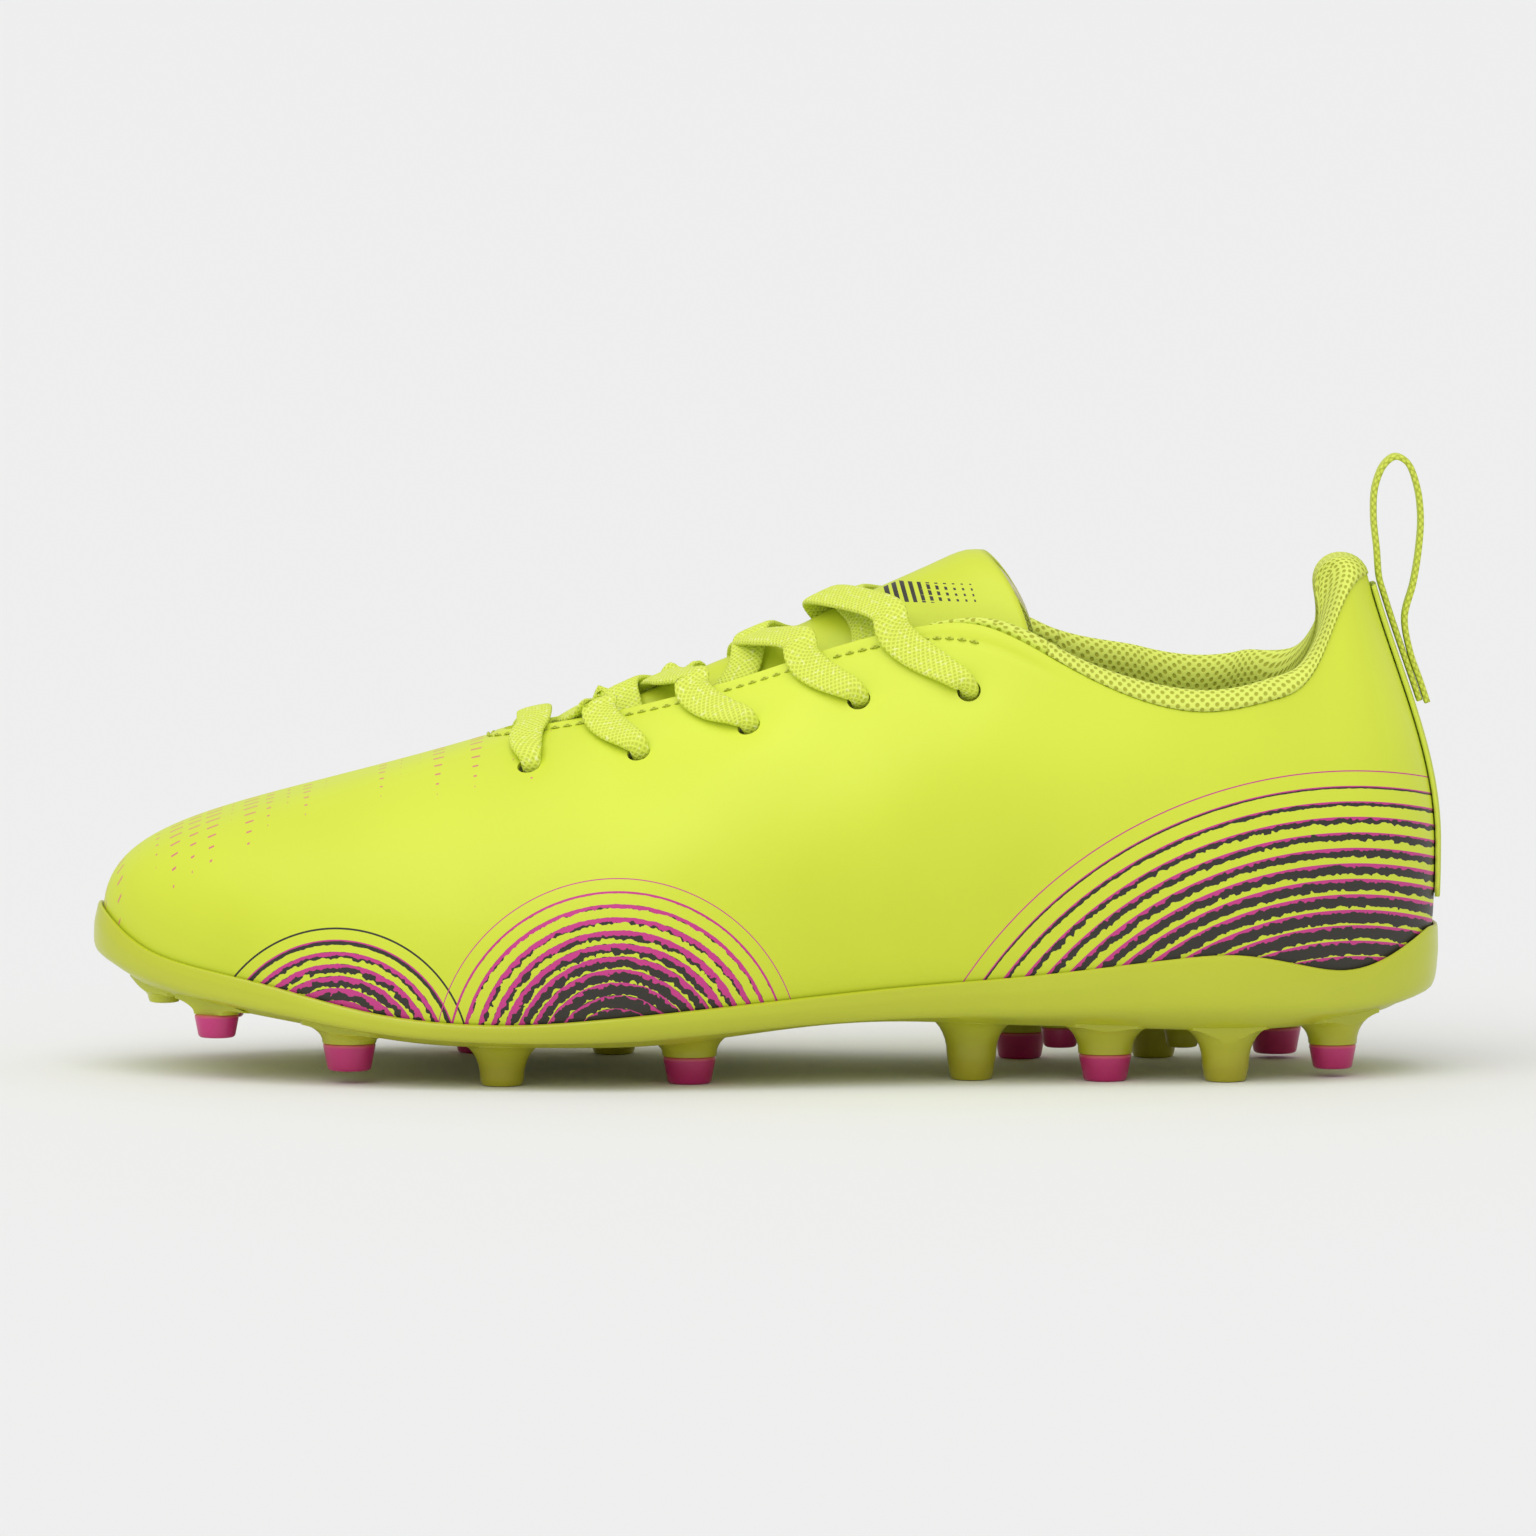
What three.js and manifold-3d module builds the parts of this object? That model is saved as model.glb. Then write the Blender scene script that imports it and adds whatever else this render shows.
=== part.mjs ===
// Soccer cleat, left shoe, in millimetres.
// +Z is up, the toe points to -X and the lateral (outer) side faces -Y.
// The upper is one closed band of stations: phi runs round the shoe from the toe
// (0) along the lateral side to the heel (PI) and back along the medial side, and
// v runs up the band from the feather edge (0) to the top line (1).
import * as THREE from 'three';
import { mergeVertices } from 'three/addons/utils/BufferGeometryUtils.js';
import Module from 'manifold-3d';

const wasm = await Module();
wasm.setup();

// Overall size. The outline tables below are drawn at the nominal size.
const NOMINAL = { length: 238, width: 90, height: 88.7 };
const UPPER_LENGTH = 238;
const BALL_WIDTH = 90;
const HEEL_HEIGHT = 88.7;
const KX = UPPER_LENGTH / NOMINAL.length;
const KY = BALL_WIDTH / NOMINAL.width;
const KZ = HEEL_HEIGHT / NOMINAL.height;

// Material thicknesses and fits.
const GAP = 0.3;
const UPPER_THICK = 1.3;
const STIFFENER_THICK = 1;
const LINING_THICK = 0.8;
const COLLAR_PAD = 3.4;
const FOAM_CLEARANCE = 0.85;
const BOARD_THICK = 1;
const SOCKLINER_THICK = 4;
const SOCKLINER_INSET = 4.8;
const TONGUE_SHELL = 0.9;
const TONGUE_FOAM = 2.2;
const TONGUE_LINING = 0.6;
const LACE_WIDTH = 6.2;
const LACE_THICK = 1.2;
const LACE_ROOM = 0.7;
const EYELET_BORE = 4.8;
const EYELET_SETBACK = 12;
const STUD_TIP_HEIGHT = 4.9;
const STUD_TIP_RADIUS = 3.8;
const STUD_ROOT_RADIUS = 5.7;
const PLATE_WALL = 2.2;
const PLATE_LIP = 0.8;
const TAPE_HALF_ANGLE = 0.079;
const TAPE_THICK = 0.8;
const LOOP_WIDTH = 6.5;
const LOOP_THICK = 1.1;

const STIFFENER_DEPTH = UPPER_THICK + GAP;
const LINING_DEPTH = STIFFENER_DEPTH + STIFFENER_THICK + GAP;
const LACE_DEPTH = LINING_DEPTH + LINING_THICK + LACE_ROOM + LACE_THICK / 2;
const TONGUE_DEPTH = LACE_DEPTH + LACE_THICK / 2 + LACE_ROOM;

const STATIONS = 52;
const BAND = [0, 0.07, 0.15, 0.22, 0.34, 0.47, 0.59, 0.7, 0.8, 0.9, 1];

const group = new THREE.Group();
const vec = (x, y, z) => new THREE.Vector3(x, y, z);
const mix = THREE.MathUtils.lerp;
const ramp = THREE.MathUtils.smoothstep;

// Natural cubic spline through [x, value] keys, held level past both ends.
function curve(keys, scaleX = 1, scaleValue = 1) {
  const xs = keys.map((key) => key[0] * scaleX);
  const ys = keys.map((key) => key[1] * scaleValue);
  const last = xs.length - 1;
  const bend = new Array(last + 1).fill(0);
  const carry = new Array(last + 1).fill(0);
  for (let i = 1; i < last; i++) {
    const share = (xs[i] - xs[i - 1]) / (xs[i + 1] - xs[i - 1]);
    const pivot = share * bend[i - 1] + 2;
    const rise = (ys[i + 1] - ys[i]) / (xs[i + 1] - xs[i]);
    const fall = (ys[i] - ys[i - 1]) / (xs[i] - xs[i - 1]);
    bend[i] = (share - 1) / pivot;
    carry[i] = ((6 * (rise - fall)) / (xs[i + 1] - xs[i - 1]) - share * carry[i - 1]) / pivot;
  }
  const second = new Array(last + 1).fill(0);
  for (let i = last - 1; i > 0; i--) second[i] = bend[i] * second[i + 1] + carry[i];
  return (x) => {
    if (x <= xs[0]) return ys[0];
    if (x >= xs[last]) return ys[last];
    let i = 0;
    while (x > xs[i + 1]) i++;
    const h = xs[i + 1] - xs[i];
    const a = (xs[i + 1] - x) / h;
    const b = (x - xs[i]) / h;
    const sag = ((a ** 3 - a) * second[i] + (b ** 3 - b) * second[i + 1]) * (h * h / 6);
    return a * ys[i] + b * ys[i + 1] + sag;
  };
}

// Plan outline of the widest ring: half width and centre line against x.
const halfWidth = curve([[-119, 35], [-85, 43.2], [-55, 45], [-25, 42.5], [0, 37.3], [25, 33.4],
  [50, 33.5], [75, 38], [95, 42.5], [119, 38]], KX, KY);
const centreLine = curve([[-119, 4.5], [-100, 2.2], [-86, 1.5], [-45, -0.5], [-25, -1.8],
  [0, -3.2], [25, -3.8], [50, -2.8], [75, -1], [119, 0]], KX, KY);
const widestHeight = curve([[-119, 28], [-105, 25], [-85, 22], [-60, 20], [-30, 21], [0, 25],
  [30, 28], [60, 31], [90, 35], [110, 39], [119, 41]], KX, KZ);
const featherHeight = curve([[-117, 21], [-105, 16.8], [-90, 14], [-72, 11.4], [-50, 9.9],
  [-30, 9.9], [0, 12], [25, 13.2], [60, 13], [90, 13], [110, 13.6], [116, 14.5]], KX, KZ);
const featherInset = curve([[-119, 3.5], [-30, 3.5], [10, 6], [40, 6], [80, 4], [119, 4]], KX);
const openingHalf = curve([[-47, 11], [-20, 11.5], [0, 13], [12, 14.5], [27, 17], [37, 20.5],
  [47, 24], [60, 27.5], [75, 30.5], [90, 31.5], [107, 27]], KX, KY);
const openingHeight = curve([[-47, 60.8], [-39.5, 62.1], [-22.9, 65.7], [-5.4, 70.7],
  [12.5, 76.8], [27, 80.5], [37, 81], [47, 77], [57, 71.6], [66, 67.8], [77.5, 65.7],
  [89.5, 67.6], [98, 74.8], [102.3, 84.8], [104.8, 88], [106.8, 88.7]], KX, KZ);
const arrivalAngle = curve([[-47, 17], [-40, 22], [-20, 34], [0, 44], [15, 50], [30, 58],
  [45, 67], [60, 74], [107, 75]], KX);
const riseShare = curve([[-119, 0.55], [-60, 0.45], [0, 0.42], [119, 0.35]], KX);
const arriveShare = curve([[-47, 0.6], [0, 0.5], [60, 0.4], [107, 0.35]], KX);
const MEDIAL_RAISE = 3;

function sideOf(phi) {
  return Math.sin(phi) >= 0 ? -1 : 1;
}

// A point of a plan ring: x sweeps from its toe end to its heel end.
function ringPoint(phi, toe, heel, blunt, half, height) {
  const x = mix(toe, heel, (1 - Math.cos(phi)) / 2);
  const bulge = Math.abs(Math.sin(phi)) ** blunt;
  return vec(x, centreLine(x) + sideOf(phi) * half(x) * bulge, height(x));
}

function widestPoint(phi) {
  return ringPoint(phi, -118.9 * KX, 119.1 * KX, 0.8, halfWidth, widestHeight);
}

function featherPoint(phi) {
  const half = (x) => halfWidth(x) - featherInset(x);
  return ringPoint(phi, -115.4 * KX, 114 * KX, 0.8, half, featherHeight);
}

function openingPoint(phi) {
  const point = ringPoint(phi, -47 * KX, 106.8 * KX, 0.6, openingHalf, openingHeight);
  const dip = ramp(point.x, 48 * KX, 68 * KX) * (1 - ramp(point.x, 84 * KX, 100 * KX));
  if (sideOf(phi) > 0) point.z += MEDIAL_RAISE * dip;
  return point;
}

function bezier(a, b, c, d, t) {
  const s = 1 - t;
  return vec(0, 0, 0)
    .addScaledVector(a, s ** 3)
    .addScaledVector(b, 3 * s * s * t)
    .addScaledVector(c, 3 * s * t * t)
    .addScaledVector(d, t ** 3);
}

const WIDEST_V = 0.22;
const STEP = 0.004;

// Base surface of the upper, its outer skin.
function skin(phi, v) {
  const widest = widestPoint(phi);
  if (v < WIDEST_V) {
    const feather = featherPoint(phi);
    const out = vec(widest.x - feather.x, widest.y - feather.y, 0).multiplyScalar(0.9);
    const start = feather.clone().add(out);
    start.z += 1.5;
    const end = widest.clone();
    end.z -= 0.5 * (widest.z - feather.z);
    return bezier(feather, start, end, widest, v / WIDEST_V);
  }
  const top = openingPoint(phi);
  const along = openingPoint(phi + STEP).sub(openingPoint(phi - STEP)).normalize();
  const inward = vec(-along.y, along.x, 0).normalize();
  if (inward.dot(vec(top.x - widest.x, top.y - widest.y, 0)) < 0) inward.negate();
  const angle = THREE.MathUtils.degToRad(arrivalAngle(top.x));
  const arrive = inward.multiplyScalar(Math.cos(angle));
  arrive.z = Math.sin(angle);
  const span = top.clone().sub(widest);
  const slide = span.dot(along);
  const climb = span.clone().addScaledVector(along, -slide).length();
  const share = arriveShare(top.x);
  const start = widest.clone();
  start.z += riseShare(widest.x) * span.z;
  const end = top.clone().addScaledVector(along, -share * slide).addScaledVector(arrive, -share * climb);
  return bezier(widest, start, end, top, (v - WIDEST_V) / (1 - WIDEST_V));
}

function skinOut(phi, v) {
  const round = skin(phi + STEP, v).sub(skin(phi - STEP, v));
  const up = skin(phi, Math.min(1, v + STEP)).sub(skin(phi, Math.max(0, v - STEP)));
  return round.cross(up).normalize();
}

// Point at a depth under the outer skin; a negative depth stands proud of it.
function under(phi, v, depth) {
  return skin(phi, v).addScaledVector(skinOut(phi, v), -depth);
}

// Direction up the band at the top line.
function topUp(phi) {
  return skin(phi, 1).sub(skin(phi, 1 - STEP)).normalize();
}

// Station angle at which the opening reaches a given x.
function openingPhi(x) {
  const share = THREE.MathUtils.clamp((x / KX + 47) / 153.8, 0, 1);
  return Math.acos(1 - 2 * share);
}

function spread(from, to, count) {
  return Array.from({ length: count + 1 }, (unused, i) => mix(from, to, i / count));
}

// Closed solid from faces given as loops of corner points.
function solidOf(faces) {
  const flat = [];
  for (const face of faces) {
    for (let i = 1; i + 1 < face.length; i++) {
      for (const corner of [face[0], face[i], face[i + 1]]) flat.push(corner.x, corner.y, corner.z);
    }
  }
  let geometry = new THREE.BufferGeometry();
  geometry.setAttribute('position', new THREE.Float32BufferAttribute(flat, 3));
  geometry = mergeVertices(geometry, 2e-3);
  const index = [...geometry.index.array];
  const keep = [];
  for (let i = 0; i < index.length; i += 3) {
    const [a, b, c] = index.slice(i, i + 3);
    if (a !== b && b !== c && c !== a) keep.push(a, b, c);
  }
  if (enclosed(geometry, keep) < 0) keep.reverse();
  geometry.setIndex(keep);
  return geometry;
}

function enclosed(geometry, index) {
  const place = geometry.getAttribute('position');
  const corner = (i) => vec().fromBufferAttribute(place, i);
  let volume = 0;
  for (let i = 0; i < index.length; i += 3) {
    volume += corner(index[i]).dot(corner(index[i + 1]).cross(corner(index[i + 2])));
  }
  return volume;
}

// Sheet with thickness: two grids of points, outer and inner, walled along their edges.
// A closed sheet joins its last row to its first; a folded one joins row 0 to itself.
function sheet(outer, inner, { closed = false, folded = false } = {}) {
  const rows = outer.length;
  const cols = outer[0].length;
  const lastRow = closed ? rows : rows - 1;
  const faces = [];
  for (let i = 0; i < lastRow; i++) {
    const n = (i + 1) % rows;
    for (let j = 0; j + 1 < cols; j++) {
      faces.push([outer[i][j], outer[n][j], outer[n][j + 1], outer[i][j + 1]]);
      faces.push([inner[i][j], inner[i][j + 1], inner[n][j + 1], inner[n][j]]);
    }
    faces.push([outer[n][0], outer[i][0], inner[i][0], inner[n][0]]);
    faces.push([outer[i][cols - 1], outer[n][cols - 1], inner[n][cols - 1], inner[i][cols - 1]]);
  }
  for (let j = 0; !closed && j + 1 < cols; j++) {
    const e = rows - 1;
    if (!folded) faces.push([outer[0][j], outer[0][j + 1], inner[0][j + 1], inner[0][j]]);
    faces.push([outer[e][j + 1], outer[e][j], inner[e][j], inner[e][j + 1]]);
  }
  return solidOf(faces);
}

// Disc from rings of points, first ring closed below and last ring closed above.
function disc(rings) {
  const count = rings[0].length;
  const faces = [];
  for (let k = 0; k + 1 < rings.length; k++) {
    for (let i = 0; i < count; i++) {
      const n = (i + 1) % count;
      faces.push([rings[k][i], rings[k][n], rings[k + 1][n], rings[k + 1][i]]);
    }
  }
  const base = rings[0];
  const top = rings[rings.length - 1];
  for (let i = 0; i < count / 2; i++) {
    const m = (count - i) % count;
    faces.push([base[i + 1], base[i], base[m], base[count - i - 1]]);
    faces.push([top[i], top[i + 1], top[count - i - 1], top[m]]);
  }
  return solidOf(faces);
}

function toManifold(geometry) {
  const source = geometry.index ? geometry : mergeVertices(bare(geometry), 1e-4);
  return new wasm.Manifold(new wasm.Mesh({
    numProp: 3,
    vertProperties: new Float32Array(source.getAttribute('position').array),
    triVerts: new Uint32Array(source.index.array),
  }));
}

function fromManifold(solid) {
  const mesh = solid.getMesh();
  const geometry = new THREE.BufferGeometry();
  geometry.setAttribute('position', new THREE.BufferAttribute(mesh.vertProperties, 3));
  geometry.setIndex(new THREE.BufferAttribute(mesh.triVerts, 1));
  return geometry;
}

function bare(geometry) {
  const copy = geometry.clone();
  copy.deleteAttribute('normal');
  copy.deleteAttribute('uv');
  return mergeVertices(copy, 1e-4);
}

function add(name, geometry, color, roughness, metalness = 0) {
  const material = new THREE.MeshStandardMaterial({ color, roughness, metalness });
  const mesh = new THREE.Mesh(geometry, material);
  mesh.name = name;
  group.add(mesh);
}

const TURN = 2 * Math.PI / STATIONS;
const ring = spread(0, 2 * Math.PI, STATIONS).slice(0, STATIONS);
// Whole stations of the ring between two station numbers.
const stations = (from, to) => spread(from * TURN, to * TURN, to - from);
const grid = (phis, vs, depth) => phis.map((phi) => vs.map((v) => under(phi, v, depth(phi, v))));
const level = (depth) => () => depth;

// Eyelets: five pairs of punched holes, set back from the throat edge.
const FIRST_EYELET = -42.5 * KX;
const LAST_EYELET = 35.4 * KX;
const EYELET_PAIRS = 5;

function throatDistance(point, phi) {
  const around = spread(phi - 0.35, phi + 0.35, 140).map((a) => openingPoint(a).distanceTo(point));
  return Math.min(...around);
}

// Station and band value of the hole at a given x on the lateral side.
function eyeletPlace(x) {
  let phi = openingPhi(x);
  let v = 0.85;
  for (let round = 0; round < 12; round++) {
    let low = 0.5;
    let high = 1;
    for (let i = 0; i < 16; i++) {
      v = (low + high) / 2;
      if (throatDistance(skin(phi, v), phi) > EYELET_SETBACK) low = v;
      else high = v;
    }
    phi += (x - skin(phi, v).x) / (skin(phi + STEP, v).x - skin(phi, v).x) * STEP;
  }
  return { phi, v };
}

const eyelets = spread(FIRST_EYELET, LAST_EYELET, EYELET_PAIRS - 1).map(eyeletPlace);

function eyeletPunch(place, side) {
  const phi = side < 0 ? place.phi : 2 * Math.PI - place.phi;
  const out = skinOut(phi, place.v);
  const punch = new THREE.CylinderGeometry(EYELET_BORE / 2, EYELET_BORE / 2, 12, 12);
  punch.applyQuaternion(new THREE.Quaternion().setFromUnitVectors(vec(0, 1, 0), out));
  const at = under(phi, place.v, LINING_DEPTH / 2);
  punch.translate(at.x, at.y, at.z);
  return toManifold(bare(punch));
}

function punched(geometry, sides) {
  let solid = toManifold(geometry);
  for (const side of sides) {
    for (const place of eyelets) solid = solid.subtract(eyeletPunch(place, side));
  }
  return fromManifold(solid);
}

// Upper shell, the smooth synthetic skin.
const upper = sheet(grid(ring, BAND, level(0)), grid(ring, BAND, level(UPPER_THICK)), { closed: true });
add('upper_shell', punched(upper, [-1, 1]), '#dcea52', 0.5);

function stiffener(name, phis, vs) {
  const inside = STIFFENER_DEPTH + STIFFENER_THICK;
  add(name, sheet(grid(phis, vs, level(STIFFENER_DEPTH)), grid(phis, vs, level(inside))), '#d8d6c6', 0.8);
}

const HALF_TURN = STATIONS / 2;
const TOE_PUFF_REACH = 6;
const COUNTER_REACH = 9;
const stiffenerBand = BAND.slice(1, 7);
stiffener('toe_puff', stations(-TOE_PUFF_REACH, TOE_PUFF_REACH), stiffenerBand);
stiffener('heel_counter', stations(HALF_TURN - COUNTER_REACH, HALF_TURN + COUNTER_REACH), stiffenerBand);

// Eyestay reinforcements under the eyelet rows.
const EYESTAY_FROM = 2;
const EYESTAY_TO = 15;
function eyestay(name, side) {
  const phis = side < 0
    ? stations(EYESTAY_FROM, EYESTAY_TO)
    : stations(STATIONS - EYESTAY_TO, STATIONS - EYESTAY_FROM);
  const vs = BAND.slice(-4);
  const inside = STIFFENER_DEPTH + STIFFENER_THICK;
  const strip = sheet(grid(phis, vs, level(STIFFENER_DEPTH)), grid(phis, vs, level(inside)));
  add(name, punched(strip, [side]), '#e8e6da', 0.8);
}
eyestay('eyestay_reinforcement_lateral', -1);
eyestay('eyestay_reinforcement_medial', 1);

// Vamp lining, the front half of the inside, ends where the padded collar starts.
const COLLAR_START = openingPhi(49 * KX);
const SEAM = 0.006;
const seamStation = Math.floor(COLLAR_START / TURN);
const frontStations = [
  SEAM - COLLAR_START, ...stations(-seamStation, seamStation), COLLAR_START - SEAM];
const liningBand = BAND.slice(1);
const vampLining = sheet(
  grid(frontStations, liningBand, level(LINING_DEPTH)),
  grid(frontStations, liningBand, level(LINING_DEPTH + LINING_THICK)));
add('vamp_lining', punched(vampLining, [-1, 1]), '#d3df5a', 0.9);

// Padded collar: its foam thickens from the throat corners to the heel.
function padShare(phi) {
  const x = openingPoint(phi).x;
  return mix(0.3, 1, ramp(x, 48 * KX, 72 * KX));
}

function collarDepth(phi, v) {
  return LINING_DEPTH + COLLAR_PAD * padShare(phi) * ramp(v, 0.66, 0.95);
}

const ROLL_FOOT = 0.35;
const ROLL_RISE = 2.6;
function rollPoint(phi, angle, grow) {
  const deep = collarDepth(phi, 1);
  const shallow = 0.8;
  const mid = (deep + shallow) / 2;
  const half = (deep - shallow) / 2 + grow;
  const rise = ROLL_RISE * mix(0.5, 1, padShare(phi)) + grow;
  const depth = mid + half * Math.cos(angle);
  const height = ROLL_FOOT + rise * Math.sin(angle);
  return under(phi, 1, depth).addScaledVector(topUp(phi), height);
}

const rearStations = [
  COLLAR_START + SEAM, ...stations(seamStation + 1, STATIONS - seamStation - 1),
  2 * Math.PI - COLLAR_START - SEAM];
const rollAngles = spread(0, Math.PI, 5);
function collarRow(phi, grow) {
  const wall = liningBand.slice(0, -1).map((v) => under(phi, v, collarDepth(phi, v) + grow));
  return [...wall, ...rollAngles.map((angle) => rollPoint(phi, angle, grow))];
}
const collarLining = sheet(
  rearStations.map((phi) => collarRow(phi, 0)),
  rearStations.map((phi) => collarRow(phi, LINING_THICK)));
add('collar_lining', collarLining, '#d6e25e', 0.95);

function foamRow(phi, facing) {
  const inner = facing === 'foot';
  const wall = BAND.slice(-4, -1).map((v) => {
    const depth = inner ? collarDepth(phi, v) - FOAM_CLEARANCE : STIFFENER_DEPTH;
    return under(phi, v, depth);
  });
  const tips = inner ? [0, 0.3 * Math.PI] : [Math.PI * 0.94, 0.7 * Math.PI];
  const crown = tips.map((angle) => rollPoint(phi, angle, -FOAM_CLEARANCE));
  if (!inner) crown[0] = under(phi, 1, STIFFENER_DEPTH);
  return [...wall, ...crown];
}
const foamStations = stations(seamStation + 1, STATIONS - seamStation - 1);
add('collar_foam', sheet(
  foamStations.map((phi) => foamRow(phi, 'upper')),
  foamStations.map((phi) => foamRow(phi, 'foot'))), '#eeeacb', 0.95);

// Insole board on the plate, and the sockliner on the board.
function featherRing(inset, lift) {
  return ring.map((phi) => {
    const edge = featherPoint(phi);
    const outward = skinOut(phi, WIDEST_V).setZ(0).normalize();
    const point = edge.clone().addScaledVector(outward, -inset);
    point.z = featherHeight(point.x) + lift;
    return point;
  });
}
add('insole_board', disc([featherRing(1.6, 0), featherRing(1.6, BOARD_THICK)]), '#cfc9b4', 0.85);

// Band value at which the skin reaches a height above the feather edge.
function bandAt(phi, height) {
  let low = 0;
  let high = 0.6;
  for (let i = 0; i < 18; i++) {
    const middle = (low + high) / 2;
    if (skin(phi, middle).z < height) low = middle;
    else high = middle;
  }
  return (low + high) / 2;
}

const SOCKLINER_LIFT = BOARD_THICK + GAP;
function socklinerRing(lift, inset) {
  return ring.map((phi) => {
    const v = bandAt(phi, featherPoint(phi).z + 3);
    const outward = skinOut(phi, WIDEST_V).setZ(0).normalize();
    const point = skin(phi, v).addScaledVector(outward, -inset);
    point.z = featherHeight(point.x) + lift;
    return point;
  });
}
add('sockliner', disc([
  socklinerRing(SOCKLINER_LIFT, SOCKLINER_INSET),
  socklinerRing(SOCKLINER_LIFT + SOCKLINER_THICK - 0.8, SOCKLINER_INSET - 0.2),
  socklinerRing(SOCKLINER_LIFT + SOCKLINER_THICK, SOCKLINER_INSET + 0.6),
]), '#e3e0cf', 0.9);

// Outsole plate with its side wall, studs moulded in one with it.
const lipHeight = curve([[-119, 29.6], [-112.8, 24.2], [-103.7, 20.7], [-90, 18.1], [-72, 13.9],
  [-55, 12], [-45, 11.9], [-30, 12.9], [0, 15.8], [24, 18.1], [50, 20.1], [73, 22.6], [83, 23.1],
  [96, 20.9], [103, 19.9], [109.5, 21.3], [117.5, 26.2]], KX, KZ);
const plateBottom = curve([[-119, 21], [-112, 15.6], [-105, 13.8], [-94, 12.2], [-80, 10.2],
  [-62, 7.8], [-40, 7.3], [-20, 7.6], [-5, 9.1], [9, 10.6], [22, 11.1], [40, 10.4], [60, 9.8],
  [95, 9.8], [108, 11.2], [114, 12.5], [118, 15]], KX, KZ);

const lipBand = new Map(ring.map((phi) => [phi, bandAt(phi, lipHeight(widestPoint(phi).x))]));
function wallRing(share, proud) {
  return ring.map((phi) => under(phi, share * lipBand.get(phi), -proud));
}

function bottomRing(inset, lift) {
  return featherRing(inset, 0).map((point) => {
    point.z = plateBottom(point.x) + lift;
    return point;
  });
}

const plate = disc([
  bottomRing(3, 0),
  bottomRing(-0.2, 0.9),
  wallRing(0.35, GAP + PLATE_WALL),
  wallRing(0.7, GAP + mix(PLATE_LIP, PLATE_WALL, 0.5)),
  wallRing(1, GAP + PLATE_LIP),
  wallRing(1, GAP),
  wallRing(0.6, GAP),
  wallRing(0.25, GAP),
  wallRing(0, GAP),
  featherRing(1.2, -GAP),
]);

// Studs: [x, y, height of the tip over the ground, kind, root scale].
const STUDS = [
  [-107.7, -6, 12.5, 'moulded', 0.75],
  [-97.9, -17, 7.3, 'tipped', 0.85],
  [-97.9, 21, 7.3, 'tipped', 0.85],
  [-74.1, -26, 2.3, 'tipped', 1],
  [-74.1, 30, 2.3, 'moulded', 1],
  [-47, -30, 0, 'moulded', 1],
  [-52.3, 30, 0, 'tipped', 1],
  [-13.9, -26, 0, 'tipped', 1],
  [-27.9, 28, 0, 'moulded', 1],
  [36.1, -19, 0, 'moulded', 1],
  [45.4, 20, 0, 'tipped', 1],
  [59.8, -21, 0, 'tipped', 1],
  [69.5, 22, 0, 'moulded', 1],
  [81.1, -22, 0, 'moulded', 1],
  [91.4, 20, 0.9, 'tipped', 1],
  [100.4, -14, 1.5, 'tipped', 0.9],
  [52.3, 1, 3.8, 'tipped', 0.75],
  [74.1, 1, 3.8, 'moulded', 0.75],
];

function turned(profile, x, y) {
  const shape = new THREE.LatheGeometry(profile.map(([r, z]) => new THREE.Vector2(r, z)), 12);
  shape.rotateX(Math.PI / 2);
  shape.translate(x, y, 0);
  return bare(shape);
}

function studTipProfile(tip, scale) {
  const wide = mix(STUD_TIP_RADIUS, STUD_ROOT_RADIUS, 0.5) * scale;
  const narrow = STUD_TIP_RADIUS * scale;
  const top = tip + STUD_TIP_HEIGHT * scale;
  return [[0, tip], [narrow - 0.5, tip], [narrow, tip + 0.7], [wide, top], [0, top]];
}

// The moulded root flares into the plate and stops inside it.
function studRootProfile(from, root, scale, moulded) {
  const wide = STUD_ROOT_RADIUS * scale;
  const start = mix(STUD_TIP_RADIUS, STUD_ROOT_RADIUS, 0.5) * scale;
  const top = root + 1;
  const flare = [[wide, root - 1.6], [wide + 1.4, root], [wide + 1.4, top], [0, top]];
  if (!moulded) return [[0, from], [start, from], ...flare];
  const narrow = STUD_TIP_RADIUS * scale;
  return [[0, from], [narrow - 0.5, from], [narrow, from + 0.7], ...flare];
}

let outsole = toManifold(plate);
const studTips = [];
for (const [sx, sy, tip, kind, scale] of STUDS) {
  const x = sx * KX;
  const y = sy * KY;
  const moulded = kind === 'moulded';
  const from = moulded ? tip : tip + STUD_TIP_HEIGHT * scale;
  outsole = outsole.add(toManifold(turned(studRootProfile(from, plateBottom(x), scale, moulded), x, y)));
  if (!moulded) studTips.push(turned(studTipProfile(tip, scale), x, y));
}
add('outsole', fromManifold(outsole), '#c6ce30', 0.35);
studTips.forEach((tip, i) => {
  add(`stud_tip_${String(i + 1).padStart(2, '0')}`, tip, '#c23a80', 0.35);
});

// Tongue: its wings lie under the throat edges, its middle bulges up between them.
const TONGUE_END = openingPhi(47 * KX);
const TONGUE_ROWS = 13;
const WING = BAND.slice(-4);
const bulgeKeys = [[-45.2, 54.6], [-41, 56.6], [-37, 59.2], [-30, 63.6], [-20, 68.4], [-10, 72.7],
  [0, 76.8], [9.3, 81.4], [23.6, 88], [30.7, 91.2], [38.5, 94.3]];
const bulgeHeight = curve(bulgeKeys, KX, KZ);

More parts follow.
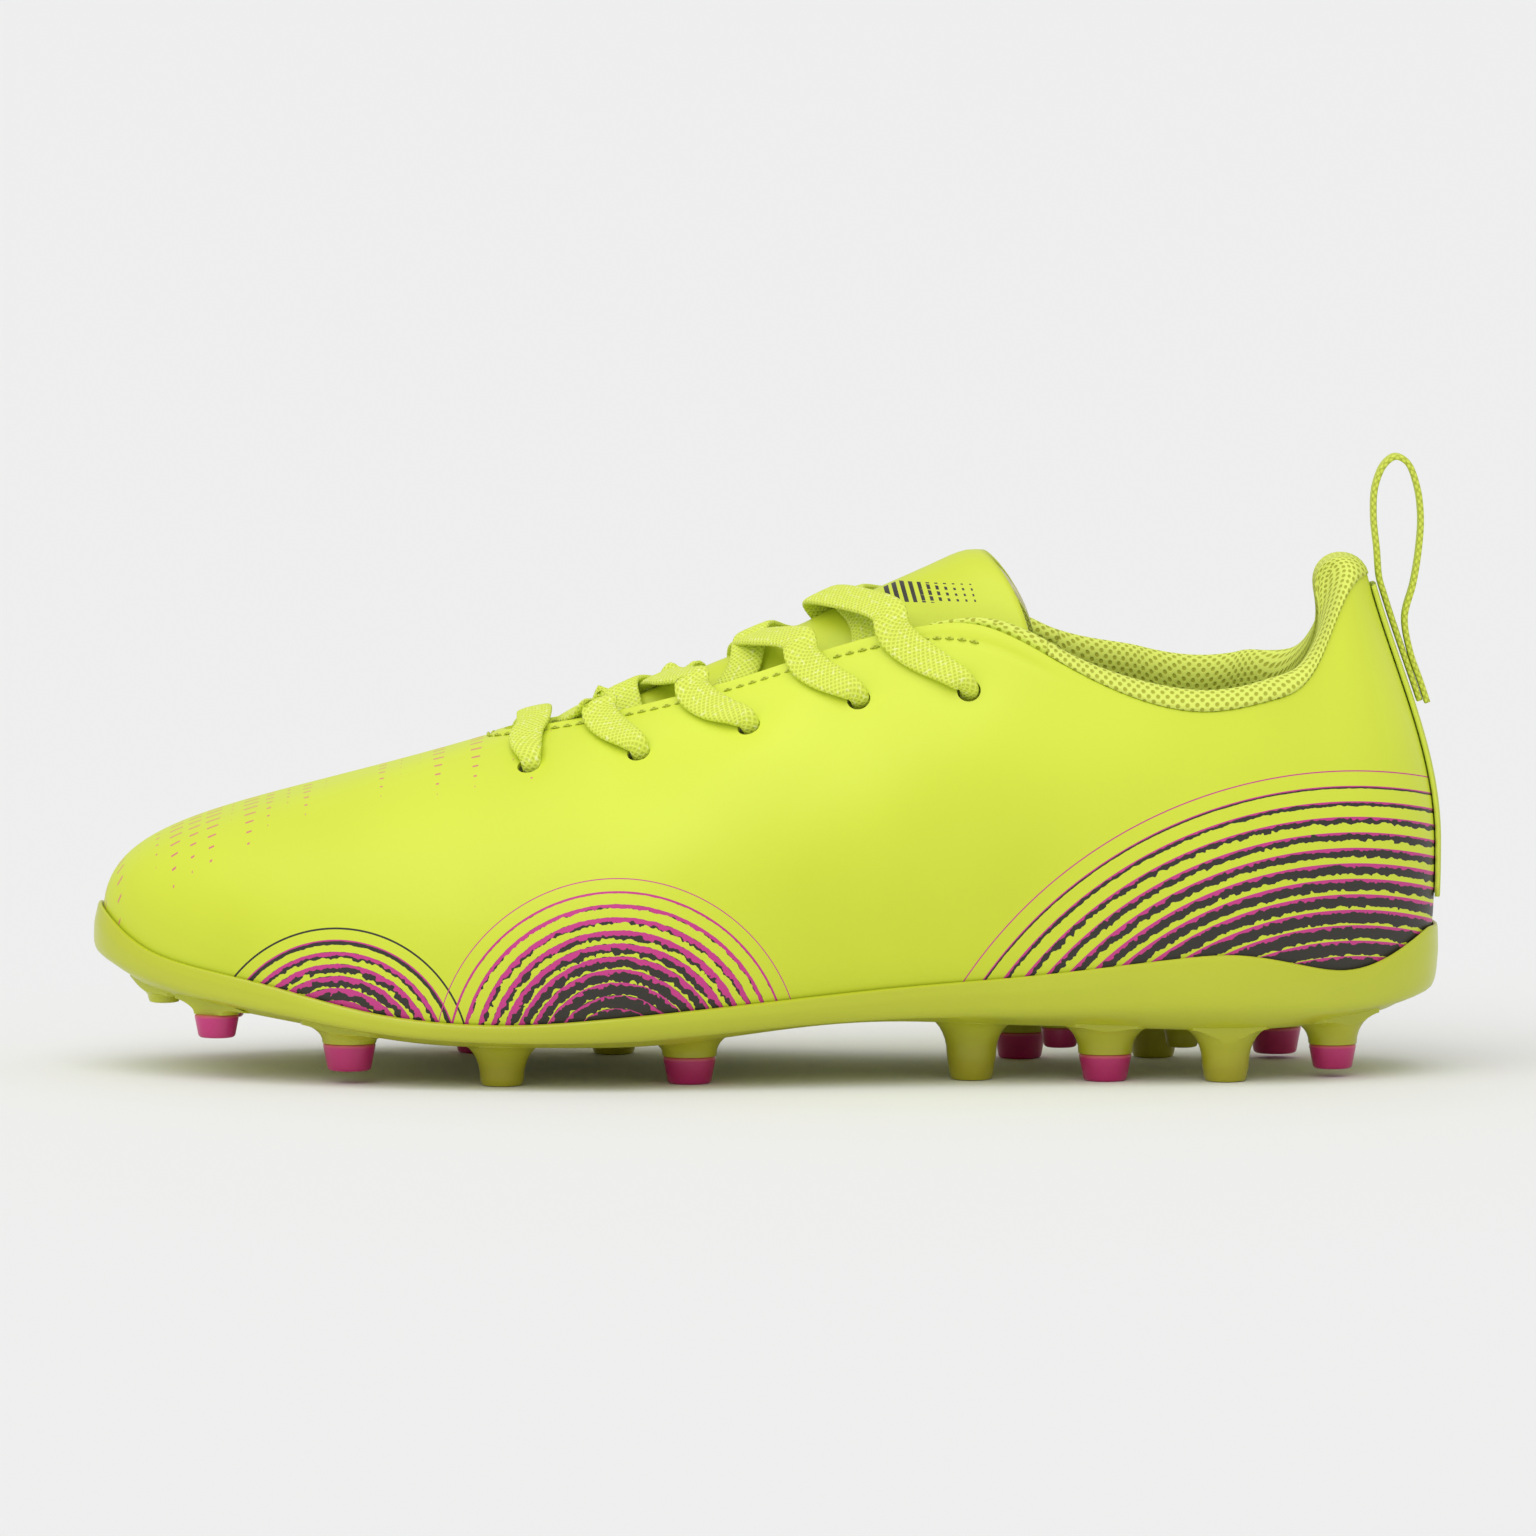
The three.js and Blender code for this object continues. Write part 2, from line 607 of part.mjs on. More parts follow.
// Cross arc of the tongue from the throat edge (t 0) up to its crest (t 1).
function tongueArc(phi, side, t) {
  const at = side < 0 ? phi : 2 * Math.PI - phi;
  const edge = under(at, 1, TONGUE_DEPTH);
  const base = under(0, 1, TONGUE_DEPTH);
  const reach = (openingPoint(phi).x / KX + 47) / 94;
  const crestX = mix(base.x, 38.5 * KX, reach);
  const crest = vec(crestX, mix(base.y, 0, ramp(reach, 0, 0.2)), bulgeHeight(crestX));
  if (reach < 1e-6) crest.copy(base);
  const shoulder = edge.clone().addScaledVector(topUp(at), edge.distanceTo(crest) * 0.4);
  const brow = crest.clone();
  brow.y += (edge.y - crest.y) * 0.5;
  brow.x += (edge.x - crest.x) * 0.15;
  return bezier(edge, shoulder, brow, crest, t);
}

function tongueHalf(phi, side) {
  const at = side < 0 ? phi : 2 * Math.PI - phi;
  const wing = WING.map((v) => under(at, v, TONGUE_DEPTH));
  return [...wing, ...[0.25, 0.5, 0.75, 1].map((t) => tongueArc(phi, side, t))];
}

function tongueRow(phi) {
  const lateral = tongueHalf(phi, -1);
  const medial = tongueHalf(phi, 1);
  return [...lateral, ...medial.slice(0, -1).reverse()];
}

const tongueGrid = spread(0, TONGUE_END, TONGUE_ROWS).map(tongueRow);
const tongueOut = tongueGrid.map((row, i) => row.map((point, j) => {
  const last = row.length - 1;
  const above = tongueGrid[Math.min(i + 1, TONGUE_ROWS)][j];
  const below = i === 0 ? tongueGrid[1][last - j] : tongueGrid[i - 1][j];
  const left = i === 0 && j > last / 2 ? row[Math.min(j + 1, last)] : row[Math.max(j - 1, 0)];
  const right = i === 0 && j > last / 2 ? row[j - 1] : row[Math.min(j + 1, last)];
  const across = right.clone().sub(left);
  const flip = i === 0 && j > last / 2 ? -1 : 1;
  return above.clone().sub(below).multiplyScalar(flip).cross(across).normalize();
}));
const toeBase = WING.length - 1;
tongueOut[0].forEach((normal, j) => {
  const atBase = tongueGrid[0][j].distanceTo(tongueGrid[0][toeBase]) < 1e-6;
  if (atBase) normal.copy(tongueOut[0][toeBase - 1]);
});

// Neighbouring normals are evened out, so that inner layers do not cross under the crest.
const EVENING_PASSES = 6;
function evened(row) {
  const last = row.length - 1;
  const sum = (normal, j) => normal.clone().add(row[j - 1]).add(row[j + 1]).normalize();
  return row.map((normal, j) => (j === 0 || j === last ? normal : sum(normal, j)));
}
let tongueNormals = tongueOut;
for (let pass = 0; pass < EVENING_PASSES; pass++) tongueNormals = tongueNormals.map(evened);

function tongueLayer(depth) {
  const deeper = (point, out) => point.clone().addScaledVector(out, -depth);
  return tongueGrid.map((row, i) => row.map((point, j) => deeper(point, tongueNormals[i][j])));
}

function tonguePiece(name, from, thick, color, roughness) {
  add(name, sheet(tongueLayer(from), tongueLayer(from + thick), { folded: true }), color, roughness);
}
tonguePiece('tongue_shell', 0, TONGUE_SHELL, '#dcea52', 0.5);
const FOAM_FROM = TONGUE_SHELL + GAP;
tonguePiece('tongue_foam', FOAM_FROM, TONGUE_FOAM, '#eeeacb', 0.95);
tonguePiece('tongue_lining', FOAM_FROM + TONGUE_FOAM + GAP, TONGUE_LINING, '#d6e25e', 0.95);


// Lace: flat woven cord, threaded from outside through five eyelet pairs.
// Each knot holds a place, a width direction and how far the cord is squeezed.
const SQUEEZE_WIDE = 1.5;
const SQUEEZE_THICK = 0.85;
const PROUD = -(GAP + LACE_THICK / 2 + 0.1);
const OVER_EDGE = PROUD - 0.95;
const ON_TONGUE = LACE_THICK / 2 + GAP + 0.5;
const ON_STRAND = ON_TONGUE + LACE_THICK + GAP + 0.1;

function knot(place, across, wide = LACE_WIDTH / 2, thick = LACE_THICK / 2) {
  return { place, across, wide, thick };
}

function bandPhi(x, side) {
  const phi = openingPhi(x * KX);
  return side < 0 ? phi : 2 * Math.PI - phi;
}

// Knot on the band at a station given by the opening's x.
function bandKnot(x, side, v, depth, wide, thick) {
  const phi = bandPhi(x, side);
  const across = skin(phi + STEP, v).sub(skin(phi - STEP, v)).normalize();
  return knot(under(phi, v, depth), across, wide, thick);
}

// Knot over the tongue, t running from the throat edge (0) to the crest (1).
function tongueKnot(x, side, t, lift) {
  const phi = openingPhi(x * KX);
  const at = tongueArc(phi, side, t);
  const along = tongueArc(phi + STEP, side, t).sub(tongueArc(phi - STEP, side, t)).normalize();
  const inset = t > 0.98 ? tongueArc(phi, -side, 0.96) : tongueArc(phi, side, Math.min(1, t + 0.02));
  const up = along.clone().cross(inset.sub(at)).normalize();
  if (up.z < 0) up.negate();
  return knot(at.addScaledVector(up, lift), along);
}

// Knot just past the throat edge, still in line with the band.
function pastEdgeKnot(x, side) {
  const edge = bandKnot(x, side, 1, OVER_EDGE);
  edge.place.addScaledVector(topUp(bandPhi(x, side)), 2.5);
  edge.place.z += 0.7;
  return edge;
}

// Passage through a hole from the inside of the shoe to the outside.
function holeKnots(index, side, insideX, outsideX, fromBelow = false) {
  const { phi, v } = eyelets[index];
  const at = side < 0 ? phi : 2 * Math.PI - phi;
  const x = openingPoint(phi).x / KX;
  const across = skin(at + STEP, v).sub(skin(at - STEP, v)).normalize();
  const lean = (target, share) => mix(x, target, share);
  const start = fromBelow ? v - 0.04 : mix(v, 1, 0.45);
  const turn = fromBelow ? v - 0.008 : v + 0.008;
  return [
    bandKnot(lean(insideX, 0.45), side, start, LACE_DEPTH, 2.8),
    knot(under(at, turn, LACE_DEPTH), across, 2, 0.6),
    knot(under(at, v, LINING_DEPTH - 1), across, SQUEEZE_WIDE, SQUEEZE_THICK),
    knot(under(at, v + 0.006, -1), across, 1.8, 0.75),
    bandKnot(lean(outsideX, 0.4), side, mix(v, 1, 0.42), PROUD, 2.9),
    bandKnot(lean(outsideX, 0.74), side, mix(v, 1, 0.74), PROUD - 0.2),
  ];
}

// Crossing strands: where each leaves its own throat edge, crosses the crest and
// dips under the far edge, by the opening's x, for the lateral and medial strand.
const CROSSINGS = [
  { from: 1, lateral: [-30, -35, -40], medial: [-28, -31, -39.5], top: -1 },
  { from: 2, lateral: [-13.5, -18, -26], medial: [-13.5, -24.5, -29], top: 1 },
  { from: 3, lateral: [6, -0.5, -9], medial: [6, 2, -13], top: 1 },
  { from: 4, lateral: [22, 15, 12], medial: [22, 20, 15], top: -1 },
];

// Strand from hole `from` on its own side, over the tongue, under the far edge.
function strandKnots(crossing, side) {
  const [edge, crest, dip] = side < 0 ? crossing.lateral : crossing.medial;
  const lift = crossing.top === side ? ON_STRAND : ON_TONGUE;
  return [
    bandKnot(edge, side, 1, OVER_EDGE),
    pastEdgeKnot(mix(edge, crest, 0.15), side),
    tongueKnot(mix(edge, crest, 0.6), side, 0.6, ON_STRAND + 2),
    tongueKnot(crest, side, 1, lift),
    tongueKnot(mix(crest, dip, 0.5), -side, 0.5, ON_TONGUE),
    tongueKnot(mix(crest, dip, 0.9), -side, 0.1, ON_TONGUE + 0.25),
    bandKnot(dip, -side, 0.99, LACE_DEPTH + 0.1),
  ];
}

// Loose ends tucked inside: down past the tongue's wing, then along the quarter lining.
const TAIL = [[36, 0.76, 0], [33, 0.71, 0], [28, 0.655, 0.3], [21, 0.615, 0.9], [13, 0.6, 1],
  [4, 0.6, 1], [-5, 0.6, 1.1], [-12, 0.61, 1.1]];
const TAIL_WIDE = 2.5;
const LACE_END_X = 40;
function tailKnot([x, v, inward], side, wide, thick) {
  return bandKnot(x, side, v, LACE_DEPTH + inward, wide, thick);
}

// Half the lace: from its tail through the top hole and down to the lowest one.
const BAR_X = -41.5;
function halfLace(start) {
  const run = TAIL.map((place) => tailKnot(place, start, TAIL_WIDE)).reverse();
  const top = EYELET_PAIRS - 1;
  let side = start;
  let inside = LACE_END_X;
  for (let hole = top; hole > 0; hole--) {
    const crossing = CROSSINGS[hole - 1];
    const strand = side < 0 ? crossing.lateral : crossing.medial;
    run.push(...holeKnots(hole, side, inside, strand[0], hole === top));
    run.push(...strandKnots(crossing, side));
    inside = strand[2];
    side = -side;
  }
  run.push(...holeKnots(0, side, inside, BAR_X));
  return run;
}

// The bar runs straight across the lowest pair of holes and joins the two halves.
function barKnots() {
  const middle = knot(vec(-41.8 * KX, 0.4, 64.6 * KZ), vec(1, 0, 0.25).normalize());
  return [bandKnot(BAR_X, -1, 1, PROUD), middle, bandKnot(BAR_X, 1, 1, PROUD)];
}
const laceKnots = [...halfLace(-1), ...barKnots(), ...halfLace(1).reverse()];

const CORD_OUTLINE = [[1, 0], [0.8, 1], [-0.8, 1], [-1, 0], [-0.8, -1], [0.8, -1]];

// Rings of a flat cord through its knots, one more between knots that lie far apart.
function cordRings(knots) {
  const route = new THREE.CatmullRomCurve3(knots.map((k) => k.place), false, 'centripetal');
  const last = knots.length - 1;
  const rings = [];
  let before = null;
  const put = (i, share) => {
    const t = (i + share) / last;
    const a = knots[i];
    const b = knots[Math.min(i + 1, last)];
    const same = a.across.dot(b.across) < 0 ? -1 : 1;
    const across = a.across.clone().lerp(b.across.clone().multiplyScalar(same), share);
    const tangent = route.getTangent(t);
    across.addScaledVector(tangent, -across.dot(tangent)).normalize();
    if (before && before.dot(across) < 0) across.negate();
    before = across.clone();
    const up = tangent.clone().cross(across).normalize();
    across.multiplyScalar(mix(a.wide, b.wide, share));
    up.multiplyScalar(mix(a.thick, b.thick, share));
    const centre = route.getPoint(t);
    const outlined = ([x, y]) => centre.clone().addScaledVector(across, x).addScaledVector(up, y);
    rings.push(CORD_OUTLINE.map(outlined));
  };
  for (let i = 0; i < last; i++) {
    put(i, 0);
    if (knots[i].place.distanceTo(knots[i + 1].place) > 9) put(i, 0.5);
  }
  put(last, 0);
  return rings;
}

function capped(rings) {
  const faces = [];
  const count = rings[0].length;
  for (let k = 0; k + 1 < rings.length; k++) {
    for (let i = 0; i < count; i++) {
      const n = (i + 1) % count;
      faces.push([rings[k][i], rings[k][n], rings[k + 1][n], rings[k + 1][i]]);
    }
  }
  faces.push([...rings[0]].reverse(), rings[rings.length - 1]);
  return solidOf(faces);
}
add('lace', capped(cordRings(laceKnots)), '#dfec55', 0.85);

// Aglets: hard tips that carry on from the two lace ends.
const AGLET_WIDE = 1.7;
const AGLET_THICK = 1.1;
const AGLET_RUN = [[-17, 0.615, 1.2], [-23, 0.62, 1.3]];
function aglet(name, side) {
  const [before, end] = TAIL.slice(-2).map((place) => tailKnot(place, side).place);
  const away = end.clone().sub(before).normalize();
  const start = knot(end.clone().addScaledVector(away, GAP), away, AGLET_WIDE, AGLET_THICK);
  const run = AGLET_RUN.map((place) => tailKnot(place, side, AGLET_WIDE, AGLET_THICK));
  for (const each of [start, ...run]) each.across = topUp(bandPhi(AGLET_RUN[0][0], side));
  add(name, capped(cordRings([start, ...run])), '#d7e44a', 0.3);
}
aglet('aglet_lateral', -1);
aglet('aglet_medial', 1);

// Heel tape down the back seam, and the pull loop sewn to it.
const tapePhis = spread(Math.PI - TAPE_HALF_ANGLE, Math.PI + TAPE_HALF_ANGLE, 4);
const tapeBand = [0.165, 0.22, 0.34, 0.47, 0.59, 0.7, 0.8, 0.9, 0.97];
add('heel_tape', sheet(
  grid(tapePhis, tapeBand, level(-GAP - TAPE_THICK)),
  grid(tapePhis, tapeBand, level(-GAP))), '#d2de4c', 0.8);

// Pull loop, seen from the side: it lies on the tape, then splits into a finger loop.
const LOOP_STAND = GAP + TAPE_THICK + GAP;
const LOOP_ON_HEEL = [66, 69, 73, 77, 81, 85, 88];
const LOOP_SPLIT_ROW = 3;
const LOOP_ROUND = [[108, 93], [107.4, 99], [107.7, 104.5], [109.4, 108.6], [111.8, 110.2],
  [114.4, 108.9], [116.2, 104.5], [116.9, 99], [116.6, 93.5], [115.9, 87], [115.3, 81]];
const LOOP_BACK = [[115.7, 75], [117.2, 69], [117.8, 66]];
const LOOP_CENTRE = new THREE.Vector2(112 * KX, 95 * KZ);

// Distance of the heel's back face, with its tape, from the centre at a height.
function heelBack(z, stand) {
  let low = WIDEST_V;
  let high = 1;
  for (let i = 0; i < 20; i++) {
    const v = (low + high) / 2;
    if (under(Math.PI, v, -stand).z < z) low = v;
    else high = v;
  }
  return under(Math.PI, low, -stand).x;
}

// The same closed line moved in by a thickness towards a centre.
function shrunk(line, centre, thick) {
  return line.map((point, i) => {
    const before = line[(i + line.length - 1) % line.length];
    const along = line[(i + 1) % line.length].clone().sub(before).normalize();
    const inward = new THREE.Vector2(-along.y, along.x);
    if (inward.dot(centre.clone().sub(point)) < 0) inward.negate();
    return point.clone().addScaledVector(inward, thick);
  });
}

function pullLoop() {
  const scaled = (list) => list.map(([x, z]) => new THREE.Vector2(x * KX, z * KZ));
  const heel = LOOP_ON_HEEL.map((z) => new THREE.Vector2(heelBack(z * KZ, LOOP_STAND), z * KZ));
  const round = scaled(LOOP_ROUND);
  const shape = new THREE.Shape([...heel, ...round, ...scaled(LOOP_BACK)].reverse());
  const inside = [...heel.slice(LOOP_SPLIT_ROW), ...round];
  shape.holes.push(new THREE.Path(shrunk(inside, LOOP_CENTRE, LOOP_THICK)));
  const body = new THREE.ExtrudeGeometry(shape, { depth: LOOP_WIDTH, bevelEnabled: false });
  body.translate(0, 0, -LOOP_WIDTH / 2);
  body.rotateX(Math.PI / 2);
  return bare(body);
}
add('pull_loop', pullLoop(), '#d9e550', 0.85);

export default group;
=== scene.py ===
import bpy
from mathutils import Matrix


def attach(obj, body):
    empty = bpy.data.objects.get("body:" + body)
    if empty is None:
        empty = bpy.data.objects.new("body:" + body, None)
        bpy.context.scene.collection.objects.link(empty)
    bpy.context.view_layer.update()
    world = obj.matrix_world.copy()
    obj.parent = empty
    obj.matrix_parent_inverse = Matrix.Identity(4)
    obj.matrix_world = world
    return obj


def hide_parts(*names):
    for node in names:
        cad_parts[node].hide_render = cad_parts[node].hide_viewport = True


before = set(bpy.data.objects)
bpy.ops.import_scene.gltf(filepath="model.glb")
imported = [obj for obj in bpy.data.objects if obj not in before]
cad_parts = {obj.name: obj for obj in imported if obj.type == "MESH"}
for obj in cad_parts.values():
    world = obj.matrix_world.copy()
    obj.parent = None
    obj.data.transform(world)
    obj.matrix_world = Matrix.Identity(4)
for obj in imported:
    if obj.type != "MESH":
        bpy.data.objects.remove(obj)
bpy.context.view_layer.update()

import math

import bpy
import numpy as np
from mathutils import Vector

# Camera, light and floor. A long lens looks at the outer side of the shoe from just above
# the ground, under an even sky and one wide soft light, over a plain pale floor.
MM = 0.001
VIEW_WIDTH = 274.3 * MM
CAMERA_DISTANCE = 2.5
CAMERA_TILT = math.radians(4.46)
AIM = Vector((0, 0, 53.9 * MM))
scene = bpy.context.scene
scene.view_settings.view_transform = "Standard"
camera_data = bpy.data.cameras.new("camera")
camera_data.lens = camera_data.sensor_width * CAMERA_DISTANCE / VIEW_WIDTH
camera = bpy.data.objects.new("camera", camera_data)
scene.collection.objects.link(camera)
camera.location = AIM + CAMERA_DISTANCE * Vector((0, -math.cos(CAMERA_TILT), math.sin(CAMERA_TILT)))
camera.rotation_euler = (math.pi / 2 - CAMERA_TILT, 0, 0)
scene.camera = camera


def linear(colour):
    """An sRGB hex colour as linear red, green, blue and alpha."""
    parts = [int(colour[i:i + 2], 16) / 255 for i in (1, 3, 5)]
    return [c / 12.92 if c <= 0.04045 else ((c + 0.055) / 1.055) ** 2.4 for c in parts] + [1.0]


def add_node(material, kind, inputs=None, **settings):
    """A new node of this material: its settings, and its inputs as values or as links."""
    made = material.node_tree.nodes.new(kind)
    for name, value in settings.items():
        setattr(made, name, value)
    for name, value in (inputs or {}).items():
        if isinstance(value, bpy.types.NodeSocket):
            material.node_tree.links.new(value, made.inputs[name])
        else:
            made.inputs[name].default_value = value
    return made


def new_material(name, **shader):
    """An empty material with a shader, and the values of that shader's own sockets."""
    material = bpy.data.materials.new(name)
    material.use_nodes = True
    material.node_tree.nodes.clear()
    sockets = {name.replace("_", " "): value for name, value in shader.items()}
    surface = add_node(material, "ShaderNodeBsdfPrincipled", sockets)
    add_node(material, "ShaderNodeOutputMaterial", {"Surface": surface.outputs[0]})
    return material, surface


def deselect():
    bpy.ops.object.select_all(action="DESELECT")


WORLD_LIGHT = 0.635
SUN_LIGHT = 1.39
world = bpy.data.worlds.new("studio")
world.use_nodes = True
world.node_tree.nodes["Background"].inputs["Color"].default_value = linear("#ffffff")
world.node_tree.nodes["Background"].inputs["Strength"].default_value = WORLD_LIGHT
scene.world = world
sun_data = bpy.data.lights.new("softbox", "SUN")
sun_data.energy = SUN_LIGHT
sun_data.angle = math.radians(70)
sun = bpy.data.objects.new("softbox", sun_data)
sun.rotation_euler = (math.radians(28), math.radians(-14), 0)
scene.collection.objects.link(sun)

deselect()
bpy.ops.mesh.primitive_plane_add(size=60)
floor = bpy.context.object
floor.name = "floor"
floor_paint, floor_shader = new_material("floor_paint", Roughness=0.9)
floor_shader.inputs["Base Color"].default_value = linear("#eeeeee")
floor_shader.inputs["Specular IOR Level"].default_value = 0.1
floor.data.materials.append(floor_paint)

# The last: the shape that the whole shoe is made on. Plan and height curves give three rings
# round the shoe (the sole edge, the widest line and the top line), and the skin is drawn
# through them. A station phi runs from the toe (0) along the outer side to the heel (pi).
GAP = 0.3


def curve(keys):
    """Natural cubic spline through (x, value) keys, held level past both ends."""
    xs, ys = np.array(keys, float).T
    count = len(xs)
    bend, carry, second = np.zeros(count), np.zeros(count), np.zeros(count)
    for i in range(1, count - 1):
        share = (xs[i] - xs[i - 1]) / (xs[i + 1] - xs[i - 1])
        pivot = share * bend[i - 1] + 2
        rise = (ys[i + 1] - ys[i]) / (xs[i + 1] - xs[i])
        fall = (ys[i] - ys[i - 1]) / (xs[i] - xs[i - 1])
        bend[i] = (share - 1) / pivot
        carry[i] = (6 * (rise - fall) / (xs[i + 1] - xs[i - 1]) - share * carry[i - 1]) / pivot
    for i in range(count - 2, 0, -1):
        second[i] = bend[i] * second[i + 1] + carry[i]

    def value(x):
        x = np.clip(x, xs[0], xs[-1])
        i = np.clip(np.searchsorted(xs, x, side="left") - 1, 0, count - 2)
        h = xs[i + 1] - xs[i]
        a, b = (xs[i + 1] - x) / h, (x - xs[i]) / h
        sag = ((a ** 3 - a) * second[i] + (b ** 3 - b) * second[i + 1]) * h * h / 6
        return a * ys[i] + b * ys[i + 1] + sag

    return value


half_width = curve([(-119, 35), (-85, 43.2), (-55, 45), (-25, 42.5), (0, 37.3), (25, 33.4),
                    (50, 33.5), (75, 38), (95, 42.5), (119, 38)])
centre_line = curve([(-119, 4.5), (-100, 2.2), (-86, 1.5), (-45, -0.5), (-25, -1.8), (0, -3.2),
                     (25, -3.8), (50, -2.8), (75, -1), (119, 0)])
widest_height = curve([(-119, 28), (-105, 25), (-85, 22), (-60, 20), (-30, 21), (0, 25), (30, 28),
                       (60, 31), (90, 35), (110, 39), (119, 41)])
feather_height = curve([(-117, 21), (-105, 16.8), (-90, 14), (-72, 11.4), (-50, 9.9), (-30, 9.9),
                        (0, 12), (25, 13.2), (60, 13), (90, 13), (110, 13.6), (116, 14.5)])
feather_inset = curve([(-119, 3.5), (-30, 3.5), (10, 6), (40, 6), (80, 4), (119, 4)])
opening_half = curve([(-47, 11), (-20, 11.5), (0, 13), (12, 14.5), (27, 17), (37, 20.5), (47, 24),
                      (60, 27.5), (75, 30.5), (90, 31.5), (107, 27)])
opening_height = curve([(-47, 60.8), (-39.5, 62.1), (-22.9, 65.7), (-5.4, 70.7), (12.5, 76.8),
                        (27, 80.5), (37, 81), (47, 77), (57, 71.6), (66, 67.8), (77.5, 65.7),
                        (89.5, 67.6), (98, 74.8), (102.3, 84.8), (104.8, 88), (106.8, 88.7)])
arrival_angle = curve([(-47, 17), (-40, 22), (-20, 34), (0, 44), (15, 50), (30, 58), (45, 67),
                       (60, 74), (107, 75)])
rise_share = curve([(-119, 0.55), (-60, 0.45), (0, 0.42), (119, 0.35)])
arrive_share = curve([(-47, 0.6), (0, 0.5), (60, 0.4), (107, 0.35)])
WIDEST_ENDS = (-118.9, 119.1)
FEATHER_ENDS = (-115.4, 114)
OPENING_ENDS = (-47, 106.8)
MEDIAL_RAISE = 3
WIDEST_V = 0.22
STEP = 0.004


def ramp(x, low, high):
    t = np.clip((x - low) / (high - low), 0, 1)
    return t * t * (3 - 2 * t)


def unit(vectors):
    return vectors / np.maximum(np.linalg.norm(vectors, axis=-1, keepdims=True), 1e-9)


def point(x, y, z):
    return np.stack(np.broadcast_arrays(x, y, z), -1).astype(float)


def side_of(phi):
    return np.where(np.sin(phi) >= 0, -1.0, 1.0)


def ring_point(phi, ends, blunt, half, height):
    x = ends[0] + (ends[1] - ends[0]) * (1 - np.cos(phi)) / 2
    return point(x, centre_line(x) + side_of(phi) * half(x) * np.abs(np.sin(phi)) ** blunt, height(x))


def widest_point(phi):
    return ring_point(phi, WIDEST_ENDS, 0.8, half_width, widest_height)


def feather_point(phi):
    return ring_point(phi, FEATHER_ENDS, 0.8, lambda x: half_width(x) - feather_inset(x), feather_height)


def opening_point(phi):
    top = ring_point(phi, OPENING_ENDS, 0.6, opening_half, opening_height)
    dip = ramp(top[..., 0], 48, 68) * (1 - ramp(top[..., 0], 84, 100))
    top[..., 2] += np.where(side_of(phi) > 0, MEDIAL_RAISE * dip, 0)
    return top


def bezier(a, b, c, d, t):
    t = np.asarray(t, float)[..., None]
    return (1 - t) ** 3 * a + 3 * (1 - t) ** 2 * t * b + 3 * (1 - t) * t * t * c + t ** 3 * d


def skin(phi, v):
    """Point on the outer skin at a station and a band value, from the sole edge (0) to the top (1)."""
    phi, v = np.broadcast_arrays(np.asarray(phi, float), np.asarray(v, float))
    widest, feather, top = widest_point(phi), feather_point(phi), opening_point(phi)
    out = feather + 0.9 * (widest - feather) * [1, 1, 0] + [0, 0, 1.5]
    end = widest - 0.5 * (widest - feather) * [0, 0, 1]
    low = bezier(feather, out, end, widest, np.clip(v / WIDEST_V, 0, 1))
    along = unit(opening_point(phi + STEP) - opening_point(phi - STEP))
    inward = unit(point(-along[..., 1], along[..., 0], 0))
    turn = np.sum(inward * (top - widest) * [1, 1, 0], -1, keepdims=True) < 0
    inward = np.where(turn, -inward, inward)
    angle = np.radians(arrival_angle(top[..., 0]))[..., None]
    arrive = inward * np.cos(angle) + np.array([0, 0, 1]) * np.sin(angle)
    span = top - widest
    slide = np.sum(span * along, -1, keepdims=True)
    climb = np.linalg.norm(span - along * slide, axis=-1, keepdims=True)
    share = arrive_share(top[..., 0])[..., None]
    start = widest + rise_share(widest[..., 0])[..., None] * span * [0, 0, 1]
    finish = top - share * slide * along - share * climb * arrive
    high = bezier(widest, start, finish, top, np.clip((v - WIDEST_V) / (1 - WIDEST_V), 0, 1))
    return np.where((v < WIDEST_V)[..., None], low, high)


def skin_out(phi, v):
    around = skin(phi + STEP, v) - skin(phi - STEP, v)
    up = skin(phi, np.minimum(1, v + STEP)) - skin(phi, np.maximum(0, v - STEP))
    return unit(np.cross(around, up))


def under(phi, v, depth):
    """Point at a depth under the skin, in millimetres."""
    return skin(phi, v) - skin_out(phi, v) * np.asarray(depth, float)[..., None]


def top_up(phi):
    return unit(skin(phi, 1) - skin(phi, 1 - STEP))


def opening_phi(x):
    toe, heel = OPENING_ENDS
    return np.arccos(1 - 2 * np.clip((np.asarray(x, float) - toe) / (heel - toe), 0, 1))


def mesh_piece(name, points, quads, uv=None):
    """A smooth mesh object from points in millimetres, with a UV map in millimetres."""
    mesh = bpy.data.meshes.new(name)
    mesh.from_pydata((np.asarray(points) * MM).tolist(), [], [list(quad) for quad in quads])
    if uv is not None:
        layer = mesh.uv_layers.new(name="run")
        layer.data.foreach_set("uv", np.asarray(uv, np.float32).ravel())
    mesh.polygons.foreach_set("use_smooth", [True] * len(mesh.polygons))
    mesh.update()
    made = bpy.data.objects.new(name, mesh)
    scene.collection.objects.link(made)
    return made


